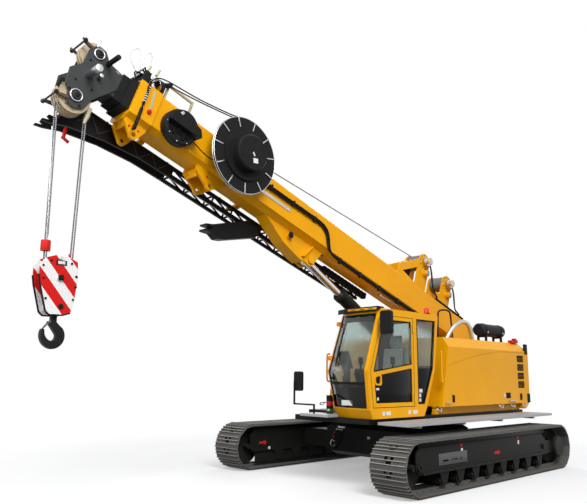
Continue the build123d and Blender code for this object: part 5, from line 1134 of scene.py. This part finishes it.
# Sensor drum fittings: five cover screws and a small bright window, all zinc-plated.
# A glossy black boss, a bar and two small knobs stand on the drum's face.
drum_screws = bolt_circle([math.radians(190.0 + n * 40.0) for n in range(5)], 0.225, (7.715, 0.15), 0.378,
                          0.386,
                          0.009, sides=6, soften=0.001)
drum_screws.append(plate((0.04, 0.004, 0.055), (7.80, 0.4365, 0.30), turn=pitched(-30.0), soften=0.001))
finish_piece(drum_screws, "sensor_drum_screws", "boom", SILVER)
drum_face = [
    cross_bar(7.715, 0.15, 0.345, 0.362, 0.07, sides=28, soften=0.006),
    plate((0.30, 0.012, 0.03), (7.715, 0.356, 0.06), soften=0.004),
    cross_bar(7.64, 0.02, 0.345, 0.366, 0.028, sides=16, soften=0.004),
    cross_bar(7.79, 0.03, 0.345, 0.366, 0.022, sides=16, soften=0.004),
]
finish_piece(drum_face, "sensor_drum_face", "boom", TRIM_BLACK)

# Front of the boom base: a work lamp with a flared dish, a beige grab rail and a sprung strut.
# A wrapped hose runs down beside the strut, and a blank cream strip is stuck on the collar.
RAIL_BEIGE = enamel("rail_beige_enamel", (0.50, 0.46, 0.30), (0.3, 0.27, 0.2), 0.3, 0.4)
paint_nodes(RAIL_BEIGE, "grab_rail")
lamp_parts = [
    bar((8.09, 0.195, 0.635), (8.165, 0.195, 0.575), 0.045, sides=32, soften=0.004, tip=0.092),
    bar((7.985, 0.195, 0.715), (8.095, 0.195, 0.632), 0.034, sides=24, soften=0.008),
    plate((0.03, 0.06, 0.14), (8.075, 0.195, 0.55), soften=0.004),
]
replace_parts(finish_piece(lamp_parts, "work_lamp_head", "boom", BLACK_COAT), "work_lamp")
lamp_glass = bar((8.160, 0.195, 0.579), (8.170, 0.195, 0.571), 0.084, sides=32, soften=0.003)
finish_piece([lamp_glass], "work_lamp_glass", "boom", MIRROR_GLASS)
strut_parts = [
    bar((8.272, 0.268, 0.1), (8.262, 0.268, -0.2), 0.023, sides=20, soften=0.004),
    bar((8.278, 0.268, 0.3), (8.272, 0.268, 0.1), 0.012, sides=12),
    cross_bar(8.262, -0.215, 0.23, 0.29, 0.02, sides=16, soften=0.003),
]
finish_piece(strut_parts, "sprung_strut", "boom", TRIM_BLACK)
tube(((8.284, 0.25, 0.52), (8.29, 0.268, 0.46), (8.282, 0.272, 0.36), (8.278, 0.27, 0.26),
      (8.275, 0.268, 0.16)),
     0.019, "wrapped_hose", "boom", BLACK_RUBBER, sides=3)
wrap_rings = []
for n in range(7):
    s, t = 8.2765 + n * 0.001, 0.20 + n * 0.036
    wrap_rings.append(bar((s, 0.2695, t), (s + 0.0003, 0.2695, t + 0.014), 0.0205, soften=0.003))
finish_piece(wrap_rings, "hose_wrap_rings", "boom", WHITE_TAG)
cream_strip = plate((0.035, 0.004, 0.34), (8.165, 0.2525, 0.27), turn=pitched(7.0), soften=0.001)
finish_piece([cream_strip], "collar_blank_strip", "boom", RAIL_BEIGE)

# Valve bank on the boom's collar: a black cast manifold with zinc-plated spools and cream end caps.
# Thin white hoses arch over it, and two black hoses loop below it.
manifold = [plate((0.118, 0.292, 0.128), (8.3425, 0.05, 0.552), soften=0.008)]
spools = [cross_bar(s, t, -0.15, 0.20, 0.018, sides=20, soften=0.004) for s,
          t in ((8.42, 0.60), (8.27, 0.62))]
for n in range(6):
    y = -0.07 + n * 0.05
    manifold.append(plate((0.09, 0.036, 0.07), (8.34, y, 0.645), soften=0.006))
    manifold.append(bar((8.37, y, 0.66), (8.415, y, 0.70), 0.013, sides=12, soften=0.003))
    spools.append(bar((8.30, y, 0.675), (8.30, y, 0.735), 0.011, sides=6, soften=0.002))
    spools.append(bar((8.38, y, 0.675), (8.38, y, 0.72), 0.014, sides=6, soften=0.002))
finish_piece(manifold, "valve_manifold", "boom", BLACK_COAT)
finish_piece(spools, "valve_spools", "boom", SILVER)
end_caps = []
for s, y, t in ((8.34, 0.12, 0.70), (8.22, 0.16, 0.71), (8.27, 0.0, 0.72)):
    end_caps.append(bar((s, y, t), (s - 0.02, y, t + 0.12), 0.018, sides=16, soften=0.004, tip=0.014))
finish_piece(end_caps, "valve_end_caps", "boom", RAIL_BEIGE)
tube(((8.46, 0.1, 0.62), (8.60, 0.1, 0.70), (8.64, 0.1, 0.84), (8.56, 0.1, 0.955), (8.50, 0.1, 0.90),
      (8.48, 0.1, 0.78),
      (8.44, 0.1, 0.66)), 0.005, "thin_white_hose_front", "boom", WHITE_TAG, sides=2)
tube(((8.44, 0.14, 0.66), (8.46, 0.12, 0.85), (8.42, 0.1, 1.0), (8.36, 0.1, 1.0), (8.32, 0.1, 0.9),
      (8.32, 0.1, 0.74)),
     0.005, "thin_white_hose_rear", "boom", WHITE_TAG, sides=2)
for row, y in enumerate((-0.1, 0.16)):
    tube(((8.42, y, 0.6), (8.5, y, 0.58), (8.52, y * 1.3, 0.50), (8.46, y * 1.35, 0.44),
          (8.36, y * 1.4, 0.52)),
         0.010, "valve_hose_%d" % row, "boom", BLACK_RUBBER, sides=2)

# Telescope sections: bent high-strength plate under black enamel, each in a thick collar of the one before.
# The head's plates are flame cut and painted dark grey; its pins stand in bright machined rings.
HEAD_GREY = enamel("head_grey_enamel", (0.05, 0.054, 0.054), (0.1, 0.095, 0.09), 0.3, 0.4,
                   edge_wear=0.35)
RUST_BROWN = enamel("weathered_guard_steel", (0.13, 0.085, 0.06), (0.16, 0.08, 0.04), 0.7, 0.6,
                    edge_wear=0.4, peel=0.6)
paint_nodes(BLACK_COAT, "boom_section_1", "boom_section_2")
paint_nodes(HEAD_GREY, "boom_section_3")
HEAD_BOLTS = ((8.93, 0.20), (9.06, 0.30), (8.90, -0.05), (9.12, -0.05), (8.95, -0.33), (9.14, -0.20))
pin_rings, pin_nuts, guard_arms = [], [], []
for side in SIDES:
    for s, t, ring_radius in ((9.035, -0.235, 0.082), (8.995, 0.44, 0.074)):
        pin_rings.append(torus((s, side * 0.182, t), ring_radius - 0.009, 0.009, 48, 12))
        pin_nuts.append(cross_bar(s, t, side * 0.19, side * 0.207, 0.04, sides=6, soften=0.004))
    for s, t in HEAD_BOLTS:
        pin_nuts.append(cross_bar(s, t, side * 0.166, side * 0.178, 0.016, sides=6, soften=0.002))
    for s, t in ((9.256, -0.35), (9.216, 0.484)):
        pin_nuts.append(cross_bar(s, t, side * 0.178, side * 0.205, 0.026, sides=16, soften=0.006))
    guard_arms.append(plate((0.18, 0.008, 0.034), (9.165, side * 0.1705, 0.482), turn=pitched(-8.0)))
    guard_arms.append(plate((0.18, 0.008, 0.036), (9.19, side * 0.1705, -0.335), turn=pitched(12.0)))
finish_piece(pin_rings, "head_pin_rings", "tele_3", SILVER, smooth=60.0)
finish_piece(pin_nuts, "head_bolts", "tele_3", BLACK_COAT)
bright_pins = [
    cross_bar(9.0, 0.10, 0.1675, 0.452, 0.0475, sides=36, soften=0.005),
    cross_bar(8.883, 0.154, 0.1675, 0.26, 0.026, sides=24, soften=0.005),
    bar((9.05, 0.155, 0.52), (9.044, 0.155, 0.628), 0.016, sides=16, soften=0.003),
]
finish_piece(bright_pins, "head_bright_pins", "tele_3", SILVER)
black_rods = [
    cross_bar(8.85, 0.39, 0.1675, 0.455, 0.0325, sides=24, soften=0.006),
    plate((0.06, 0.012, 0.05), (9.245, 0.162, -0.15), soften=0.008),
    plate((0.04, 0.02, 0.09), (9.262, 0.160, -0.22), soften=0.008),
]
finish_piece(black_rods, "head_black_rods", "tele_3", BLACK_RUBBER)
finish_piece(guard_arms, "rope_guard_arms", "tele_3", RUST_BROWN)
rope_anchor = [
    bar((8.79, 0.0945, -0.32), (8.79, 0.0945, -0.46), 0.03, sides=20, soften=0.005, tip=0.018),
    plate((0.05, 0.05, 0.09), (8.80, 0.0945, -0.28), soften=0.006),
]
finish_piece(rope_anchor, "rope_wedge_socket", "tele_3", RAIL_BEIGE)

# Rope sheaves: cast nylon in its own beige, with turned grooves.
# A little rope grease darkens what faces up.
NYLON = enamel("cast_nylon_beige", (0.56, 0.45, 0.30), (0.26, 0.21, 0.13), 0.55, 0.36, edge_wear=0.0)
paint_nodes(NYLON, "head_sheaves", "block_sheaves")

# Stowed lattice jib: square tube chords and lacing in black powder coat, with ribs on its boxed front.
# Two bright stay rods lie along its chords, and a red marker hangs at its end.
paint_nodes(BLACK_COAT, "stowed_jib")
ribs = []
for n in range(9):
    lean = pitched(42.0 if n % 2 else -42.0)
    for y in (-0.2955, -0.5445):
        rib_place = (7.45 + n * 0.155, y, -0.13 - 0.006 * n)
        ribs.append(plate((0.012, 0.008, 0.185 + 0.006 * n), rib_place, turn=lean, soften=0.002))
finish_piece(ribs, "jib_web_ribs", "boom", HEAD_GREY)
stay_parts = [plate((0.03, 0.03, 0.03), (3.4 + n, -0.318, -0.03), soften=0.004) for n in range(6)]
stay_parts.append(bar((3.1, -0.318, -0.026), (8.8, -0.318, -0.026), 0.008, sides=10))
stay_parts.append(bar((3.3, -0.318, -0.222), (7.3, -0.318, -0.222), 0.007, sides=10))
finish_piece(stay_parts, "jib_stay_rods", "boom", SILVER)
red_marker = [
    bar((8.85, -0.30, -0.43), (8.83, -0.30, -0.575), 0.022, sides=12, soften=0.004),
    plate((0.11, 0.03, 0.035), (8.80, -0.30, -0.578), turn=pitched(-12.0), soften=0.006),
]
finish_piece(red_marker, "jib_red_marker", "boom", RED_MARK)

# Luffing cylinder: a black barrel with a bolted gland, and a ground chrome rod.
# A bright oil pipe runs along the barrel between two port blocks.
paint_nodes(BLACK_COAT, "luff_barrel")
CHROME = enamel("rod_chrome", (0.72, 0.73, 0.75), (0.4, 0.4, 0.4), 0.1, 0.13, metallic=1.0, peel=0.0,
                edge_wear=0.0)
paint_nodes(CHROME, "luff_rod")
body_places["luff_barrel"] = Matrix.Translation((-1.4, 0.0, 1.235)) @ Matrix.Rotation(math.radians(-29.86),
                                                                                      4, "Y")
port_pipe = [plate((0.07, 0.05, 0.04), (s, 0.0, 0.112), soften=0.006) for s in (0.35, 3.2)]
port_pipe.append(bar((0.35, 0.0, 0.118), (3.2, 0.0, 0.118), 0.013, sides=12))
finish_piece(port_pipe, "cylinder_port_pipe", "luff_barrel", SILVER)
gland = bar((3.33, 0.0, 0.0), (3.43, 0.0, 0.0), 0.122, sides=40, soften=0.006)
bpy.ops.object.mode_set(mode="EDIT")
pick_faces(gland, lambda face: len(face.verts) > 20)
bpy.ops.mesh.inset(thickness=0.052, depth=0.0)
bpy.ops.mesh.delete(type="FACE")
bpy.ops.object.mode_set(mode="OBJECT")
gland_parts = [gland]
for turn in even_turns(12):
    y, z = 0.09 * math.cos(turn), 0.09 * math.sin(turn)
    gland_parts.append(bar((3.43, y, z), (3.447, y, z), 0.009, sides=6))
finish_piece(gland_parts, "cylinder_gland", "luff_barrel", BLACK_COAT)

# Hoist falls: four plumb parts of wire rope that run over the head's sheaves and under the block's.
# The red overhoist weight hangs on a light chain round the front rope.
FALL_LAY = ROPE.copy()
FALL_LAY.name = "laid_wire_rope"
lay_tree = FALL_LAY.node_tree
lay_spot = add_node(lay_tree, "TexCoord").outputs["Object"]
lay_wave = add_node(lay_tree, "TexWave", {"Vector": lay_spot, "Scale": 24.0}, bands_direction="DIAGONAL")
lay_colour = mix_colours(lay_tree, lay_wave.outputs["Fac"], (0.06, 0.06, 0.062, 1.0), (0.26, 0.26, 0.27, 1.0))
feed(lay_tree, lay_tree.nodes["Principled BSDF"], {"Base Color": lay_colour})
paint_nodes(FALL_LAY, "hoist_falls")
HEAD_X, HEAD_Z = 6.4928, 4.8439
BLOCK_Z = 2.64
FALLS_Y = 0.063
for row, y in enumerate((0.0315, 0.0945)):
    for end_name, centre_z, reach, first in (("head", HEAD_Z, 0.1853, 0.0),
                                             ("block", BLOCK_Z, 0.1503, math.pi)):
        turns = [first + math.pi * n / 16 for n in range(17)]
        arc = [(HEAD_X + reach * math.cos(turn), y, centre_z + reach * math.sin(turn)) for turn in turns]
        tube(arc, 0.009, "%s_rope_turn_%d" % (end_name, row), "falls", FALL_LAY, sides=3)
WEIGHT = Vector((HEAD_X + 0.158, FALLS_Y, 3.00))
WEIGHT_HALF = Vector((0.0, 0.0, 0.062))
weight = bar(WEIGHT - WEIGHT_HALF, WEIGHT + WEIGHT_HALF, 0.055, sides=28, soften=0.006)
finish_piece([weight], "overhoist_weight", "falls", RED_MARK)
chain_top, chain_low = Vector((HEAD_X + 0.205, FALLS_Y, 4.42)), WEIGHT + Vector((0.0, 0.0, 0.30))
chain_runs = [(WEIGHT + Vector((0.0, side * 0.045, 0.06)), chain_low, 6) for side in SIDES]
chain_runs.append((chain_low, chain_top, 24))
chain = []
for start, end, count in chain_runs:
    for n in range(count):
        spin = 0.0035 if n % 2 else -0.0035
        low_end, high_end = start.lerp(end, n / count), start.lerp(end, (n + 1) / count)
        for offset in (Vector((spin, 0.0, 0.0)), Vector((0.0, spin, 0.0))):
            chain.append(bar(low_end + offset, high_end + offset, 0.0035, sides=6))
finish_piece(chain, "overhoist_chain", "falls", SILVER)

# Hook block: cast cheek plates with red and white warning stripes, a square pin nut and black rubber edges.
# The stripes run down towards the machine and are sprayed over both cheeks.
STRIPE_WIDTH = 0.114
STRIPE_SLOPE = math.radians(49.6)
STRIPED = enamel("warning_stripe_enamel", (0.80, 0.80, 0.79), (0.3, 0.28, 0.25), 0.15, 0.3, coat=0.2,
                 edge_wear=0.1)
stripe_tree = STRIPED.node_tree
stripe_shader = stripe_tree.nodes["Principled BSDF"]
stripe_spot = add_node(stripe_tree, "TexCoord").outputs["Object"]
stripe_from = add_node(stripe_tree, "VectorMath", {0: stripe_spot, 1: (HEAD_X, 0.0, BLOCK_Z)},
                       operation="SUBTRACT")
stripe_way = (math.sin(STRIPE_SLOPE), 0.0, -math.cos(STRIPE_SLOPE))
stripe_across = add_node(stripe_tree, "VectorMath", {0: stripe_from.outputs[0], 1: stripe_way},
                         operation="DOT_PRODUCT").outputs["Value"]
stripe_step = math_node(stripe_tree, "FLOORED_MODULO", stripe_across, 2.0 * STRIPE_WIDTH)
stripe_mask = math_node(stripe_tree, "GREATER_THAN", stripe_step, STRIPE_WIDTH)
stripe_white = stripe_shader.inputs["Base Color"].links[0].from_socket
stripe_colour = mix_colours(stripe_tree, stripe_mask, stripe_white, (0.60, 0.008, 0.006, 1.0))
feed(stripe_tree, stripe_shader, {"Base Color": stripe_colour})
paint_nodes(STRIPED, "block_cheeks")


def at_block(x, y, z):
    """A place on the hook block, measured from its sheave pin."""
    return Vector((HEAD_X + x, FALLS_Y + y, BLOCK_Z + z))


CHEEK_BOLTS = (
    (-0.03, -0.322, 0.03), (0.15, -0.245, 0.013), (0.205, 0.12, 0.012), (-0.185, 0.03, 0.014),
               (-0.185, -0.09, 0.014),
    (-0.165, -0.235, 0.013), (-0.12, 0.175, 0.013), (0.12, 0.185, 0.013), (0.19, -0.02, 0.012),
)
CHEEK_EDGE = ((0.236, 0.019), (0.217, -0.088), (0.133, -0.386), (0.092, -0.418), (-0.06, -0.414),
              (-0.148, -0.386))
block_nuts, edge_parts, frames, blank_parts = [], [], [], []
for side in SIDES:
    pin_place = at_block(0.0, side * 0.115, 0.0)
    block_nuts.append(plate((0.062, 0.03, 0.062), pin_place, turn=pitched(8.0), soften=0.006))
    for x, z, radius in CHEEK_BOLTS:
        block_nuts.append(bar(at_block(x, side * 0.1, z), at_block(x, side * 0.112, z), radius, sides=12,
                              soften=0.003))
    for (x0, z0), (x1, z1) in zip(CHEEK_EDGE, CHEEK_EDGE[1:]):
        edge_parts.append(bar(at_block(x0, side * 0.0875, z0), at_block(x1, side * 0.0875, z1), 0.0135,
                              sides=12))
    frames.append(plate((0.125, 0.006, 0.058), at_block(0.0, side * 0.1025, 0.17)))
    blank_parts.append(plate((0.085, 0.004, 0.034), at_block(0.0, side * 0.1055, 0.17), soften=0.002))
    blank_parts.append(bar(at_block(0.021, side * 0.1, 0.228), at_block(0.021, side * 0.118, 0.228), 0.024,
                           sides=6, soften=0.003))
finish_piece(block_nuts, "block_bolts", "falls", BLACK_COAT)
finish_piece(edge_parts, "block_rubber_edges", "falls", BLACK_RUBBER)
finish_piece(frames, "block_window_frames", "falls", BLACK_COAT)
finish_piece(blank_parts, "block_blank_plates", "falls", WHITE_TAG)
grease_knobs = [
    bar(at_block(-0.09, 0.0875, 0.246), at_block(-0.09, 0.0875, 0.285), 0.012, sides=12, soften=0.003),
    bar(at_block(0.21, 0.0875, 0.16), at_block(0.235, 0.0875, 0.178), 0.01, sides=12, soften=0.002),
]
finish_piece(grease_knobs, "block_grease_knobs", "falls", RED_MARK)

# Hook: drop-forged steel with a thick round bowl, black from the forge.
# A sprung wire latch lies across its mouth.
HOOK_BLACK = enamel("forged_hook_black", (0.016, 0.016, 0.017), (0.06, 0.06, 0.06), 0.25, 0.34,
                    edge_wear=0.35, peel=0.3)
forged_hook = merged_copy("hook")
bpy.ops.mesh.dissolve_limited(angle_limit=math.radians(2.0))
bpy.ops.object.mode_set(mode="OBJECT")
soften_edges(forged_hook, 0.018, angle=60.0, segments=4)
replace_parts(finish_piece([forged_hook], "forged_hook", "hook", HOOK_BLACK), "hook")


def at_hook(x, y, z):
    """A place on the hook, measured from the middle of its bowl."""
    return Vector((HEAD_X + x, FALLS_Y + y, 2.02 + z))


latch_parts = [
    bar(at_hook(0.045, -0.042, 0.125), at_hook(0.045, 0.042, 0.125), 0.012, sides=16, soften=0.003),
    bar(at_hook(0.108, -0.014, 0.052), at_hook(0.108, 0.014, 0.052), 0.006, sides=10),
]
for side in SIDES:
    latch_parts.append(bar(at_hook(0.045, side * 0.036, 0.125), at_hook(0.108, side * 0.012, 0.052), 0.0055,
                           sides=10))
finish_piece(latch_parts, "hook_latch", "hook", CAST_GREY)
